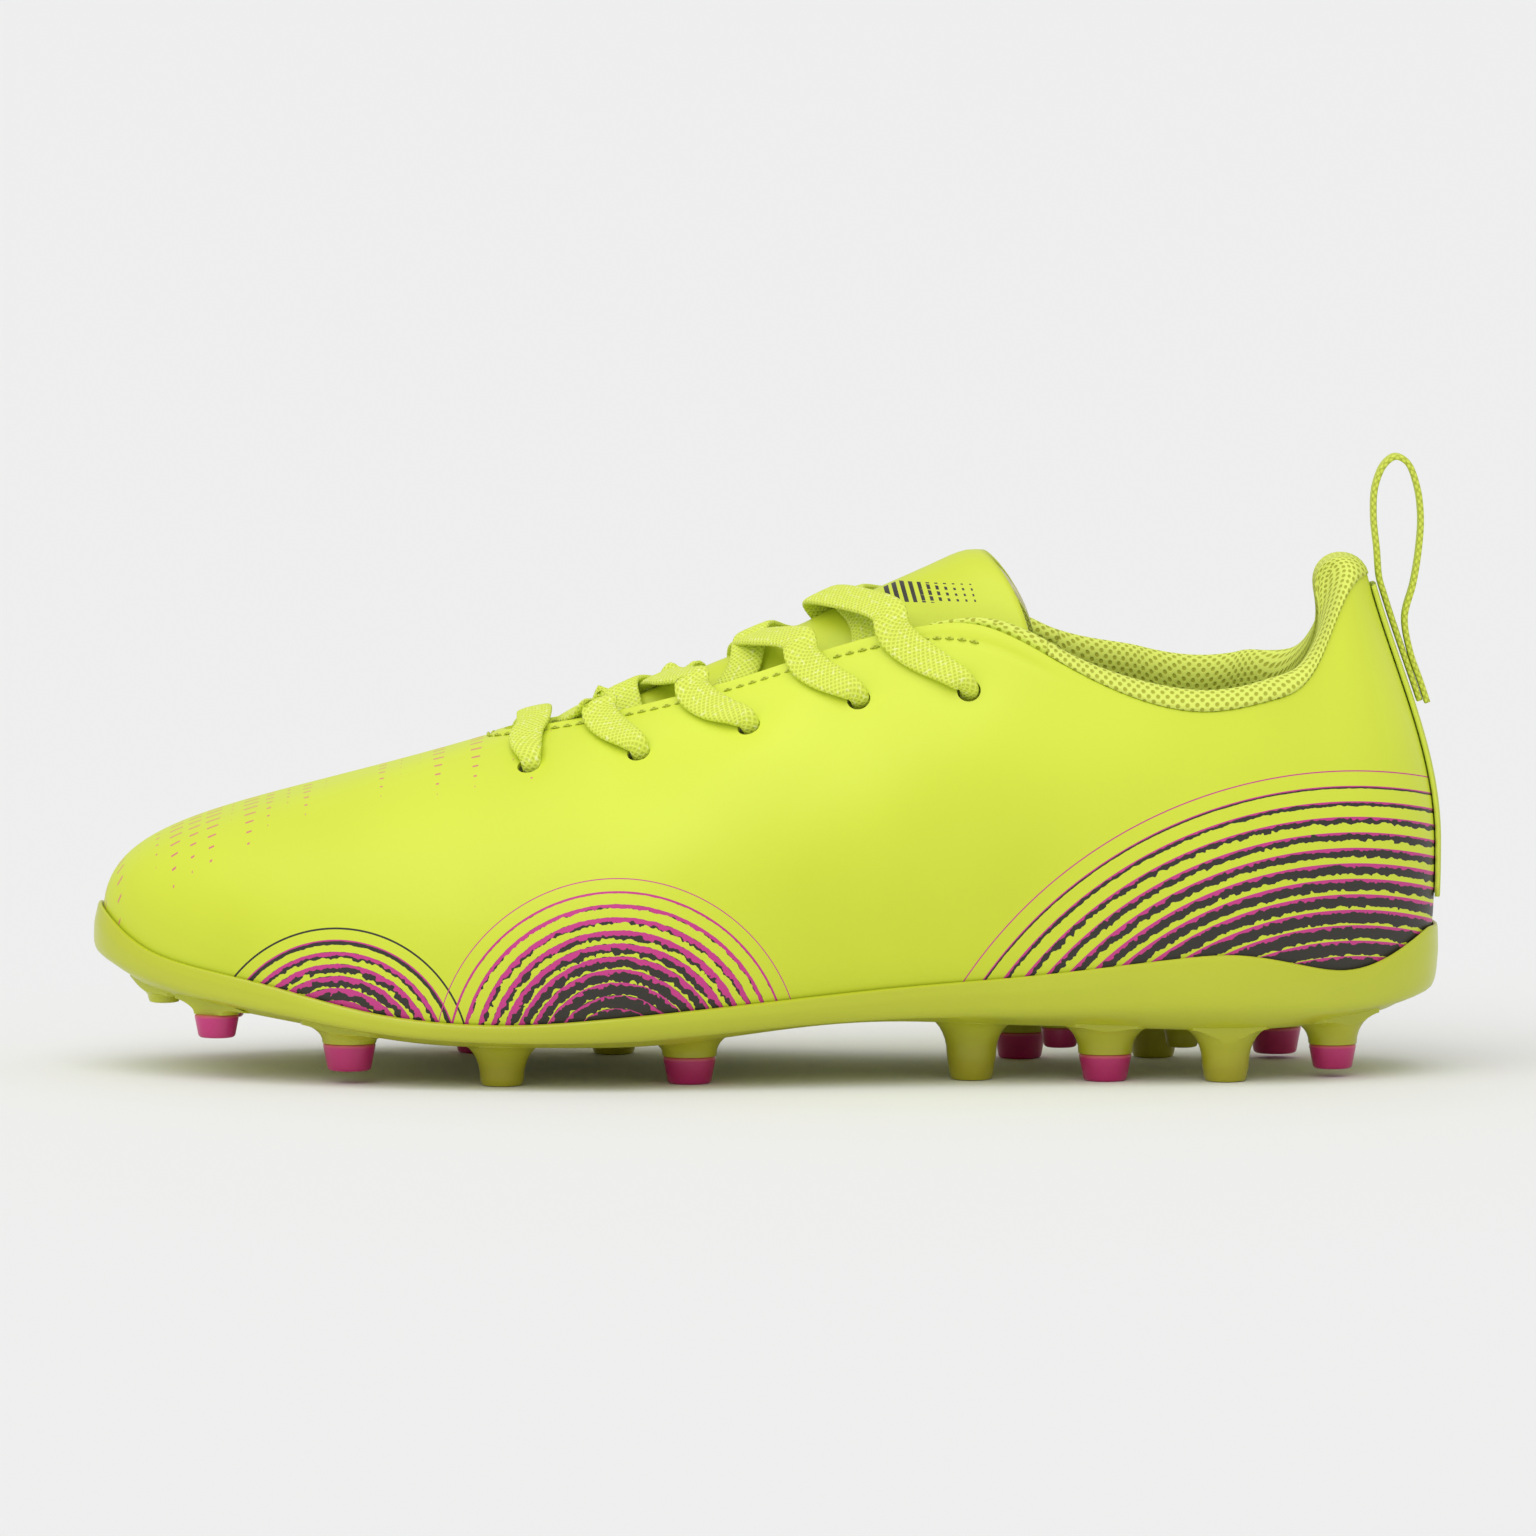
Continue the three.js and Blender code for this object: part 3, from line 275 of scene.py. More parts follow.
def tube_of(name, rows, closed=False):
    """Rows of points, each a loop: a closed piece goes all the way round, an open one is capped."""
    count, loop = rows.shape[:2]
    i = np.arange(count if closed else count - 1)[:, None]
    j = np.arange(loop)[None, :]
    n, m = (i + 1) % count, (j + 1) % loop
    quads = np.stack(np.broadcast_arrays(i * loop + j, n * loop + j, n * loop + m, i * loop + m), -1)
    around = np.linalg.norm(np.roll(rows, -1, 1) - rows, axis=-1)
    v = np.concatenate([np.zeros((count, 1)), np.cumsum(around, 1)], 1)[:, :, None]
    steps = np.linalg.norm(np.roll(rows, -1, 0) - rows, axis=-1).mean(1)
    u = np.concatenate([[0], np.cumsum(steps)])
    near, far = np.broadcast_to(u[i], quads.shape[:2]), np.broadcast_to(u[i + 1], quads.shape[:2])
    corners = [(near, v[i, j, 0]), (far, v[n, j, 0]), (far, v[n, j + 1, 0]), (near, v[i, j + 1, 0])]
    uv = np.stack([np.stack(c, -1) for c in corners], 2).reshape(-1, 2)
    faces = quads.reshape(-1, 4).tolist()
    if not closed:
        half = loop // 2
        for row, order in ((0, 1), (count - 1, -1)):
            first = row * loop
            for k in range(half - 1):
                cap = [first + k, first + k + 1, first + loop - 2 - k, first + loop - 1 - k]
                faces.append(cap[::order])
                uv = np.concatenate([uv, np.zeros((4, 2))])
    return mesh_piece(name, rows.reshape(-1, 3), faces, uv)


def choose(piece):
    """Makes a piece the only one selected, and the active one."""
    deselect()
    piece.select_set(True)
    bpy.context.view_layer.objects.active = piece


def face_outwards(piece):
    """Recalculates the normals of a closed piece."""
    choose(piece)
    bpy.ops.object.mode_set(mode="EDIT")
    bpy.ops.mesh.select_all(action="SELECT")
    bpy.ops.mesh.remove_doubles(threshold=2e-6)
    bpy.ops.mesh.normals_make_consistent(inside=False)
    bpy.ops.object.mode_set(mode="OBJECT")
    return piece


# Upper: one smooth moulded synthetic skin pulled over the last, 1.3 mm thick, with a folded
# and stitched edge round the throat and a dent where the lace pulls into each punched hole.
UPPER_THICK = 1.3
EYELET_SETBACK = 12
EYELET_BORE = 4.2
EDGE_FOLD = 2.2
EDGE_RAISE = 0.3
STITCH_LINE = 3.1
DENT_DEPTH = 0.55
DENT_RADIUS = 4.2


def throat_distance(phi, v):
    """Distance down the skin from the top line, in millimetres."""
    return np.linalg.norm(skin(phi, 1) - skin(phi, v), axis=-1)


def eyelet_place(x):
    """Station and band value of the punched hole at x on the outer side."""
    phi, v = float(opening_phi(x)), 0.85
    for attempt in range(12):
        low, high = 0.5, 1.0
        for halving in range(16):
            v = (low + high) / 2
            near = opening_point(np.linspace(phi - 0.35, phi + 0.35, 141))
            gap = np.linalg.norm(near - skin(phi, v), axis=-1).min()
            low, high = (v, high) if gap > EYELET_SETBACK else (low, v)
        here = skin(phi, v)[0]
        phi += (x - here) / (skin(phi + STEP, v)[0] - here) * STEP
    return phi, v


eyelets = [eyelet_place(x) for x in np.linspace(-42.5, 35.4, 5)]
eyelet_spots = []
for station, band in eyelets:
    eyelet_spots += [(station, band), (2 * math.pi - station, band)]

UPPER_STATIONS = 416
stations = np.linspace(0, 2 * math.pi, UPPER_STATIONS, endpoint=False)[:, None]
bands = np.concatenate([np.linspace(0, 0.66, 28), np.linspace(0.66, 1, 42)[1:]])[None, :]


def relief(phi, v):
    """How far the finished skin stands proud of the last's plain skin, in millimetres."""
    down = throat_distance(phi, v)
    throat = 1 - ramp(opening_point(phi)[..., 0], 44, 54)
    fold = EDGE_RAISE * (1 - ramp(down, EDGE_FOLD - 0.7, EDGE_FOLD + 0.3))
    groove = 0.22 * np.exp(-((down - STITCH_LINE) / 0.5) ** 2)
    rise = throat * (fold - groove)
    places = skin(phi, v)
    for station, band in eyelet_spots:
        away = np.linalg.norm(places - skin(station, band), axis=-1)
        rise = rise - DENT_DEPTH * np.exp(-(away / DENT_RADIUS) ** 2)
    return rise


outer = under(stations, bands, -relief(stations, bands))
inner = under(stations, bands, np.full(np.broadcast_shapes(stations.shape, bands.shape), UPPER_THICK))
rim = []
for turn in np.radians([35, 90, 145]):
    depth = UPPER_THICK * (1 - math.cos(turn)) / 2
    rim.append(under(stations, 1, np.full(stations.shape, depth)) + top_up(stations) * 0.45 * math.sin(turn))
upper = tube_of("upper", np.concatenate([outer, *rim, inner[:, ::-1]], 1), closed=True)
face_outwards(upper)


def apply_modifier(piece, kind, **settings):
    """Adds a modifier and applies it."""
    choose(piece)
    made = piece.modifiers.new(kind.lower(), kind)
    for name, value in settings.items():
        setattr(made, name, value)
    bpy.ops.object.modifier_apply(modifier=made.name)
    return piece


def join(name, pieces):
    deselect()
    for piece in pieces:
        piece.select_set(True)
    bpy.context.view_layer.objects.active = pieces[0]
    bpy.ops.object.join()
    bpy.context.object.name = name
    return bpy.context.object


def place_mesh(piece):
    """Puts a piece's place, turn and size into its mesh."""
    choose(piece)
    bpy.ops.object.transform_apply(location=True, rotation=True, scale=True)
    return piece


punches = []
for station, band in eyelet_spots:
    deselect()
    bpy.ops.mesh.primitive_cylinder_add(vertices=40, radius=EYELET_BORE / 2 * MM, depth=9 * MM)
    punch = bpy.context.object
    punch.rotation_mode = "QUATERNION"
    punch.rotation_quaternion = Vector((0, 0, 1)).rotation_difference(Vector(skin_out(station, band)))
    punch.location = Vector(under(station, band, 1) * MM)
    punches.append(place_mesh(punch))
punch = join("punch", punches)
apply_modifier(upper, "BOOLEAN", operation="DIFFERENCE", object=punch, solver="EXACT")
bpy.data.objects.remove(punch)
choose(upper)
bpy.ops.object.shade_smooth_by_angle(angle=math.radians(40))


def read_points(piece):
    """A mesh's points as an array, in millimetres."""
    flat = np.zeros(len(piece.data.vertices) * 3)
    piece.data.vertices.foreach_get("co", flat)
    return flat.reshape(-1, 3) / MM


def store(piece, name, values):
    """Keeps one number for each point, for a material to read."""
    kept = piece.data.attributes.new(name, "FLOAT", "POINT")
    kept.data.foreach_set("value", np.asarray(values, np.float32))


# Distance over the toe from the middle line, which the printed dashes follow.
ridge = skin(0.0, np.linspace(WIDEST_V, 1, 60))
places = read_points(upper)
ridge_z = np.interp(places[:, 0], ridge[:, 0], ridge[:, 2])
store(upper, "over_toe", np.hypot(places[:, 1] - centre_line(places[:, 0]), places[:, 2] - ridge_z))

# Synthetic leather, embossed and printed. It is satin, so it gives broad soft highlights, and
# a fine grain breaks them up. The prints are matt ink: torn-edged rings that rise from the
# sole in three fans, and short dashes in columns over the toe.
YELLOW = "#dfed46"
YELLOW_DEEP = "#cbd72f"
INK_DARK = "#35322c"
INK_PINK = "#cb3d8b"
INK_FAINT = "#d77a7c"
DOWN_PER_OUT = 0.078
GRAIN_SCALE = 1.6
GRAIN_RELIEF = (0.12, 0.00008)
DASH_COLUMN = 3.35
DASH_ROW = 3.0
DASH_END_X = -38.0
TOE_FAN = {"spot": (-76.1, 1.9), "radius": 23.8, "pitch": 2.15, "tear": 1.7, "frayed": -0.4,
           "shares": [(0.0, 0.16), (0.12, 0.3), (0.3, 0.25), (0.35, 0.35), (0.4, 0.45), (0.45, 0.55),
                      (0.45, 0.55)]}
WAIST_FAN = {"spot": (-26.4, 2.1), "radius": 32.4, "pitch": 2.3, "tear": 1.5, "frayed": -0.4,
             "shares": [(0.08, 0.0), (0.17, 0.0), (0.28, 0.0), (0.36, 0.12), (0.4, 0.25), (0.4, 0.4),
                        (0.35, 0.5), (0.3, 0.62), (0.22, 0.78), (0.15, 0.85), (0.1, 0.9), (0.06, 0.94),
                        (0.05, 0.95), (0.0, 1.0)]}
HEEL_FAN = {"spot": (104.0, -30.1), "radius": 83.6, "pitch": 2.75, "tear": 1.6, "frayed": 0.0,
            "shares": [(0.08, 0.0), (0.08, 0.1), (0.1, 0.2), (0.13, 0.28), (0.15, 0.35), (0.17, 0.42),
                       (0.2, 0.48), (0.2, 0.54), (0.2, 0.6), (0.2, 0.66), (0.18, 0.72), (0.17, 0.78),
                       (0.15, 0.84)]}


def finish_surface(material, surface, colour, height, strength, distance, invert=False):
    """Gives a shader its colour, and raises or sinks it by a pattern's height."""
    material.node_tree.links.new(colour, surface.inputs["Base Color"])
    bump = add_node(material, "ShaderNodeBump", {
        "Height": height, "Strength": strength, "Distance": distance}, invert=invert)
    material.node_tree.links.new(bump.outputs[0], surface.inputs["Normal"])


def printed_fan(material, coat, spot, radius, pitch, shares, tear, frayed):
    """Rings of ink about a centre on the shoe's side. shares holds the pink and the dark part of
    each ring's pitch, from the outermost ring in. tear is how ragged the inner edges are, and
    frayed the share of it that moves the outer edges, the other way when it is negative."""
    along = add_node(material, "ShaderNodeMath", {0: coat["x"], 1: spot[0]}, operation="SUBTRACT").outputs[0]
    up = add_node(material, "ShaderNodeMath", {0: coat["up"], 1: spot[1]}, operation="SUBTRACT").outputs[0]
    arm = add_node(material, "ShaderNodeCombineXYZ", {"X": along, "Y": up}).outputs[0]
    reach = add_node(material, "ShaderNodeVectorMath", {0: arm}, operation="LENGTH").outputs["Value"]
    inside = add_node(material, "ShaderNodeMath", {0: radius, 1: reach}, operation="SUBTRACT").outputs[0]
    grown = add_node(material, "ShaderNodeMapRange", {
        "Value": inside, "From Min": pitch * 0.8, "From Max": pitch * 3.5,
        "To Min": 0.0, "To Max": tear}).outputs[0]
    within = add_node(material, "ShaderNodeMath", {0: inside, 1: 0.0}, operation="GREATER_THAN").outputs[0]
    colour = coat["colour"]
    for ink, seed, column in ((INK_DARK, 3.0, 1), (INK_PINK, 8.0, 0)):
        ragged = add_node(material, "ShaderNodeTexNoise", {
            "Vector": arm, "W": seed, "Scale": 0.8, "Detail": 1.0, "Roughness": 0.6},
            noise_dimensions="4D").outputs[0]
        centred = add_node(material, "ShaderNodeMath", {0: ragged, 1: 0.5}, operation="SUBTRACT").outputs[0]
        shift = add_node(material, "ShaderNodeMath", {0: centred, 1: grown}, operation="MULTIPLY").outputs[0]
        torn = add_node(material, "ShaderNodeMath", {0: shift, 1: frayed, 2: inside},
                        operation="MULTIPLY_ADD").outputs[0]
        count = add_node(material, "ShaderNodeMath", {0: torn, 1: pitch}, operation="DIVIDE").outputs[0]
        depth = add_node(material, "ShaderNodeMath", {0: count}, operation="FRACT").outputs[0]
        ring = add_node(material, "ShaderNodeMath", {0: count}, operation="FLOOR").outputs[0]
        middle = add_node(material, "ShaderNodeMath", {0: ring, 1: 0.5}, operation="ADD").outputs[0]
        look_up = add_node(material, "ShaderNodeMath", {0: middle, 1: float(len(shares))},
                           operation="DIVIDE").outputs[0]
        table = add_node(material, "ShaderNodeValToRGB", {"Fac": look_up})
        table.color_ramp.interpolation = "CONSTANT"
        stops = table.color_ramp.elements
        stops.remove(stops[1])
        for number, (pink, dark) in enumerate(shares):
            stop = stops[0] if number == 0 else stops.new(number / len(shares))
            stop.color = (pink + dark * column, 0, 0, 1)
        limit = add_node(material, "ShaderNodeSeparateColor", {"Color": table.outputs["Color"]}).outputs[0]
        jagged = add_node(material, "ShaderNodeMath", {0: shift, 1: 1 / pitch, 2: limit},
                          operation="MULTIPLY_ADD").outputs[0]
        inked = add_node(material, "ShaderNodeMath", {0: depth, 1: jagged}, operation="LESS_THAN").outputs[0]
        shown = add_node(material, "ShaderNodeMath", {0: inked, 1: within}, operation="MULTIPLY").outputs[0]
        colour = add_node(material, "ShaderNodeMix", {"Factor": shown, 6: colour, 7: linear(ink)},
                          data_type="RGBA").outputs[2]
    coat["colour"] = colour


def printed_dashes(material, coat):
    """Columns of short dashes over the toe, long near the middle line and fading to dots."""
    column = add_node(material, "ShaderNodeMath", {0: coat["x"], 1: DASH_COLUMN},
                      operation="DIVIDE").outputs[0]
    number = add_node(material, "ShaderNodeMath", {0: column}, operation="FLOOR").outputs[0]
    within = add_node(material, "ShaderNodeMath", {0: column}, operation="FRACT").outputs[0]
    off = add_node(material, "ShaderNodeMath", {0: within, 1: 0.5}, operation="SUBTRACT").outputs[0]
    away = add_node(material, "ShaderNodeMath", {0: off}, operation="ABSOLUTE").outputs[0]
    chance = add_node(material, "ShaderNodeTexWhiteNoise", {"W": number}, noise_dimensions="1D").outputs[0]
    over = add_node(material, "ShaderNodeAttribute", attribute_name="over_toe").outputs["Fac"]
    row = add_node(material, "ShaderNodeMath", {0: over, 1: DASH_ROW}, operation="DIVIDE").outputs[0]
    level = add_node(material, "ShaderNodeMath", {0: row}, operation="FRACT").outputs[0]
    height = add_node(material, "ShaderNodeMath", {0: level, 1: 0.15}, operation="LESS_THAN").outputs[0]
    last = add_node(material, "ShaderNodeMath", {0: chance, 1: 14.0, 2: 11.0},
                    operation="MULTIPLY_ADD").outputs[0]
    fade = add_node(material, "ShaderNodeMapRange", {
        "Value": add_node(material, "ShaderNodeMath", {0: over, 1: last}, operation="DIVIDE").outputs[0],
        "From Min": 0.35, "From Max": 1.0, "To Min": 0.46, "To Max": 0.0}).outputs[0]
    bold = add_node(material, "ShaderNodeMath", {0: chance, 1: 1.5}, operation="POWER").outputs[0]
    width = add_node(material, "ShaderNodeMath", {0: fade, 1: bold}, operation="MULTIPLY").outputs[0]
    narrow = add_node(material, "ShaderNodeMath", {0: away, 1: width}, operation="LESS_THAN").outputs[0]
    dash = add_node(material, "ShaderNodeMath", {0: narrow, 1: height}, operation="MULTIPLY").outputs[0]
    on_toe = add_node(material, "ShaderNodeMath", {0: coat["x"], 1: DASH_END_X},
                      operation="LESS_THAN").outputs[0]
    shown = add_node(material, "ShaderNodeMath", {0: dash, 1: on_toe}, operation="MULTIPLY").outputs[0]
    coat["colour"] = add_node(material, "ShaderNodeMix", {
        "Factor": shown, 6: coat["colour"], 7: linear(INK_FAINT)}, data_type="RGBA").outputs[2]


printed_skin, skin_surface = new_material("synthetic_leather_printed", Roughness=0.44,
                                          Specular_IOR_Level=0.36)
skin_spot = add_node(printed_skin, "ShaderNodeTexCoord").outputs["Object"]
skin_mm = add_node(printed_skin, "ShaderNodeVectorMath", {0: skin_spot, "Scale": 1000.0},
                   operation="SCALE").outputs[0]
skin_axes = add_node(printed_skin, "ShaderNodeSeparateXYZ", {0: skin_mm})
skin_side = add_node(printed_skin, "ShaderNodeMath", {0: skin_axes.outputs[1]},
                     operation="ABSOLUTE").outputs[0]
print_up = add_node(printed_skin, "ShaderNodeMath", {0: skin_side, 1: -DOWN_PER_OUT, 2: skin_axes.outputs[2]},
                    operation="MULTIPLY_ADD").outputs[0]
skin_cloud = add_node(printed_skin, "ShaderNodeTexNoise", {
    "Vector": skin_mm, "Scale": 0.02, "Detail": 2.0}).outputs[0]
# Painted shade: the skin turns deeper yellow towards the sole, added to its random cloud of tone.
painted_low_shade = add_node(printed_skin, "ShaderNodeMapRange", {
    "Value": skin_axes.outputs[2], "From Min": 62.0, "From Max": 8.0,
    "To Min": -0.3, "To Max": 0.3}).outputs[0]
tone_and_painted_shade = add_node(printed_skin, "ShaderNodeMath", {0: skin_cloud, 1: painted_low_shade}, operation="ADD",
                     use_clamp=True).outputs[0]
skin_colour = add_node(printed_skin, "ShaderNodeMix", {
    "Factor": tone_and_painted_shade, 6: linear(YELLOW), 7: linear(YELLOW_DEEP)}, data_type="RGBA").outputs[2]
coat = {"x": skin_axes.outputs[0], "up": print_up, "colour": skin_colour}
printed_dashes(printed_skin, coat)
for fan in (TOE_FAN, WAIST_FAN, HEEL_FAN):
    printed_fan(printed_skin, coat, **fan)
skin_grain = add_node(printed_skin, "ShaderNodeTexVoronoi", {
    "Vector": skin_mm, "Scale": GRAIN_SCALE}).outputs["Distance"]
finish_surface(printed_skin, skin_surface, coat["colour"], skin_grain, *GRAIN_RELIEF)
upper.data.materials.append(printed_skin)
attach(upper, "shoe")
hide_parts("upper_shell")

# Stitching: round thread sewn through the folded throat edge in even, slightly sunk stitches.
# It runs down both sides and round the toe end of the throat.
STITCH_PITCH = 2.3
THREAD_RADIUS = 0.24
THREAD = "#d2de4a"


def woven(name, base, dark, scale, low=0.25, high=0.62, **shader):
    """Cloth or thread: its weave is drawn from the piece's own UV map, in threads of a real width.
    The dark part is painted shade where the weave is sunk: it runs from low to high across each thread,
    and low above high gives open holes, painted as dark dots of shade."""
    material, surface = new_material(name, **shader)
    run = add_node(material, "ShaderNodeUVMap", uv_map="run").outputs[0]
    turned = add_node(material, "ShaderNodeMapping", {
        "Vector": run, "Rotation": (0, 0, math.radians(45)), "Scale": (scale, scale, scale)}).outputs[0]
    cells = add_node(material, "ShaderNodeTexVoronoi", {"Vector": turned, "Scale": 1.0, "Randomness": 0.0},
                     voronoi_dimensions="2D").outputs["Distance"]
    deep = add_node(material, "ShaderNodeMapRange", {
        "Value": cells, "From Min": low, "From Max": high}).outputs[0]
    # Painted shade: the colour darkens where the weave is sunk and in the holes.
    colour = add_node(material, "ShaderNodeMix", {"Factor": deep, 6: linear(base), 7: linear(dark)},
                      data_type="RGBA").outputs[2]
    finish_surface(material, surface, colour, deep, 0.6, 0.0003, invert=True)
    return material


def frames(path, across):
    """Tangents, and widths and ups square to them, along a path of points."""
    tangent = unit(np.gradient(path, axis=0))
    across = across - tangent * np.sum(across * tangent, -1, keepdims=True)
    return tangent, unit(across), unit(np.cross(tangent, unit(across)))


def swept(name, path, across, wide, thick, sides=12, square=2.0, closed=False):
    """A cord along a path, as wide and thick as each point says. square above 2 flattens it."""
    tangent, across, up = frames(path, across)
    turns = np.linspace(0, 2 * math.pi, sides, endpoint=False)
    x = np.sign(np.cos(turns)) * np.abs(np.cos(turns)) ** (2 / square)
    y = np.sign(np.sin(turns)) * np.abs(np.sin(turns)) ** (2 / square)
    wide, thick = np.broadcast_to(wide, len(path)), np.broadcast_to(thick, len(path))
    rows = (path[:, None] + across[:, None] * (wide[:, None] * x)[..., None]
            + up[:, None] * (thick[:, None] * y)[..., None])
    return tube_of(name, rows, closed)


def throat_band(phi, down):
    """Band value that lies a distance down the skin from the throat edge."""
    low, high = 0.7, 1.0
    for halving in range(14):
        v = (low + high) / 2
        low, high = (v, high) if throat_distance(phi, v) > down else (low, v)
    return v


thread = woven("polyester_thread", THREAD, "#a9b22f", 2.0, Roughness=0.55)
end_phi = float(opening_phi(40))
path_phis = np.linspace(-end_phi, end_phi, 260)
seam_path = np.array([under(phi, throat_band(phi, STITCH_LINE), -0.05) for phi in path_phis])
seam_run = np.concatenate([[0], np.cumsum(np.linalg.norm(np.diff(seam_path, axis=0), axis=-1))])
stitches = []
for start in np.arange(0, seam_run[-1] - STITCH_PITCH, STITCH_PITCH):
    along = start + np.linspace(0.1, 0.82, 5) * STITCH_PITCH
    line = np.stack([np.interp(along, seam_run, seam_path[:, k]) for k in range(3)], -1)
    phi = np.interp(along[2], seam_run, path_phis)
    out = skin_out(phi, throat_band(phi, STITCH_LINE))
    line = line + out * np.array([-0.35, 0.02, 0.12, 0.02, -0.35])[:, None]
    radius = THREAD_RADIUS * np.array([0.7, 1, 1.05, 1, 0.7])
    stitches.append(swept("stitch", line, np.broadcast_to(out, line.shape), radius, radius, 8))
throat_stitches = join("throat_stitches", stitches)
throat_stitches.data.materials.append(thread)
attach(throat_stitches, "shoe")

# Linings: a thin knit inside the front half, glued behind the skin, and the hidden parts that
# give the shoe its shape: toe puff, heel counter, eyestay strips and insole board.
STIFFENER_DEPTH = UPPER_THICK + GAP
STIFFENER_THICK = 1.0
LINING_DEPTH = STIFFENER_DEPTH + STIFFENER_THICK + GAP
LINING_THICK = 0.8
COLLAR_START = float(opening_phi(49))
SEAM = 0.006


def layered(name, rows_outer, rows_inner):
    """An open band with two faces, from its outer and its inner rows."""
    return face_outwards(tube_of(name, np.concatenate([rows_outer, rows_inner[:, ::-1]], 1)))


lining_phis = np.linspace(SEAM - COLLAR_START, COLLAR_START - SEAM, 150)[:, None]
lining_bands = np.linspace(0.07, 1, 46)[None, :]
lining_rows = [under(lining_phis, lining_bands, depth + 0 * lining_phis * lining_bands)
               for depth in (LINING_DEPTH, LINING_DEPTH + LINING_THICK)]
lining = layered("vamp_lining_knit", *lining_rows)
lining.data.materials.append(woven("lining_knit", "#d5e258", "#b3bd3c", 1.3, Roughness=0.85))
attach(lining, "shoe")
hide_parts("vamp_lining")


def fibre(name, base, dark, roughness):
    """Pressed fibre, felt or foam: an uneven colour and a fine matt grain."""
    material, surface = new_material(name, Roughness=roughness)
    spot = add_node(material, "ShaderNodeTexCoord").outputs["Object"]
    speck = add_node(material, "ShaderNodeTexNoise", {
        "Vector": spot, "Scale": 900.0, "Detail": 4.0}).outputs[0]
    colour = add_node(material, "ShaderNodeMix", {"Factor": speck, 6: linear(base), 7: linear(dark)},
                      data_type="RGBA").outputs[2]
    finish_surface(material, surface, colour, speck, 0.4, 0.0002)
    return material


def paint_node(names, material):
    for name in names:
        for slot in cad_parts[name].material_slots:
            slot.material = material


paint_node(["toe_puff", "heel_counter", "eyestay_reinforcement_lateral", "eyestay_reinforcement_medial"],
           fibre("pressed_stiffener", "#dedbcb", "#bdb9a4", 0.85))
paint_node(["insole_board"], fibre("fibre_board", "#d6cfb6", "#b1a88a", 0.9))
paint_node(["collar_foam", "tongue_foam"], fibre("open_cell_foam", "#f2edcf", "#d8d2ac", 0.95))

# Collar: an open spacer mesh stretched over foam and turned over the top edge, where it shows
# as a soft roll. Rows of small holes give it its dotted look; they are painted as dark dots of shade.
COLLAR_PAD = 3.4
ROLL_FOOT = 0.35
ROLL_RISE = 3.6
ROLL_SHALLOW = 0.5


def pad_share(phi):
    x = opening_point(phi)[..., 0]
    return 0.3 + 0.7 * ramp(x, 48, 72) + 0.6 * ramp(x, 88, 103)


def collar_depth(phi, v):
    return LINING_DEPTH + COLLAR_PAD * pad_share(phi) * ramp(v, 0.66, 0.95)


def roll_point(phi, angle, grow):
    deep = collar_depth(phi, 1) + 0 * angle
    middle, half = (deep + ROLL_SHALLOW) / 2, (deep - ROLL_SHALLOW) / 2 + grow
    rise = ROLL_RISE * (0.5 + 0.5 * np.minimum(pad_share(phi), 1)) + grow
    depth = middle + half * np.cos(angle)
    return under(phi, 1, depth) + top_up(phi) * (ROLL_FOOT + rise * np.sin(angle))[..., None]


collar_phis = np.linspace(COLLAR_START + SEAM, 2 * math.pi - COLLAR_START - SEAM, 260)[:, None]
wall_bands = np.concatenate([np.linspace(0.045, 0.6, 14), np.linspace(0.6, 0.99, 22)[1:]])[None, :]
roll_angles = np.linspace(0, math.pi, 15)[None, :]


def collar_rows(grow):
    wall = under(collar_phis, wall_bands, collar_depth(collar_phis, wall_bands) + grow)
    return np.concatenate([wall, roll_point(collar_phis, roll_angles, grow)], 1)


collar = layered("padded_collar", collar_rows(0), collar_rows(LINING_THICK))
collar_mesh = woven("spacer_mesh", "#e3f068", "#b2b62c", 0.72, 0.36, 0.2, Roughness=0.75)
collar.data.materials.append(collar_mesh)
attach(collar, "shoe")
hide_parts("collar_lining")

# The roll runs out to a thin piping along the throat, and ends beside the last eyelet.
LIP_START_X = 28
LIP_HALF = float(collar_depth(COLLAR_START, 1) + LINING_THICK - ROLL_SHALLOW) * 0.49
LIP_RISE = (ROLL_RISE * (0.5 + 0.5 * 0.3) + LINING_THICK) / 2
for name, mirror in (("collar_piping_outer", False), ("collar_piping_inner", True)):
    lip_phis = np.linspace(float(opening_phi(LIP_START_X)), COLLAR_START + 5 * SEAM, 44)
    lip_phis = 2 * math.pi - lip_phis if mirror else lip_phis
    grown = 0.3 + 0.7 * ramp(opening_point(lip_phis)[:, 0], LIP_START_X, 48)
    lip_path = (under(lip_phis, 1, ROLL_SHALLOW + LIP_HALF * grown)
                + top_up(lip_phis) * (ROLL_FOOT + LIP_RISE * grown)[:, None])
    lip = swept(name, lip_path, skin_out(lip_phis, 1), LIP_HALF * grown, LIP_RISE * grown, 16)
    face_outwards(lip)
    lip.data.materials.append(collar_mesh)
    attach(lip, "shoe")

# Sockliner: a moulded foam footbed with a brushed knit top, loose on the insole board. Its rim
# is rounded, and it follows the board's rise at the toe and the heel.
SOCKLINER_LIFT = 1.3
SOCKLINER_THICK = 4.0
SOCKLINER_INSET = 4.8


def band_at(phi, height):
    low, high = 0.0, 0.6
    for halving in range(18):
        middle = (low + high) / 2
        low, high = (middle, high) if skin(phi, middle)[2] < height else (low, middle)
    return (low + high) / 2


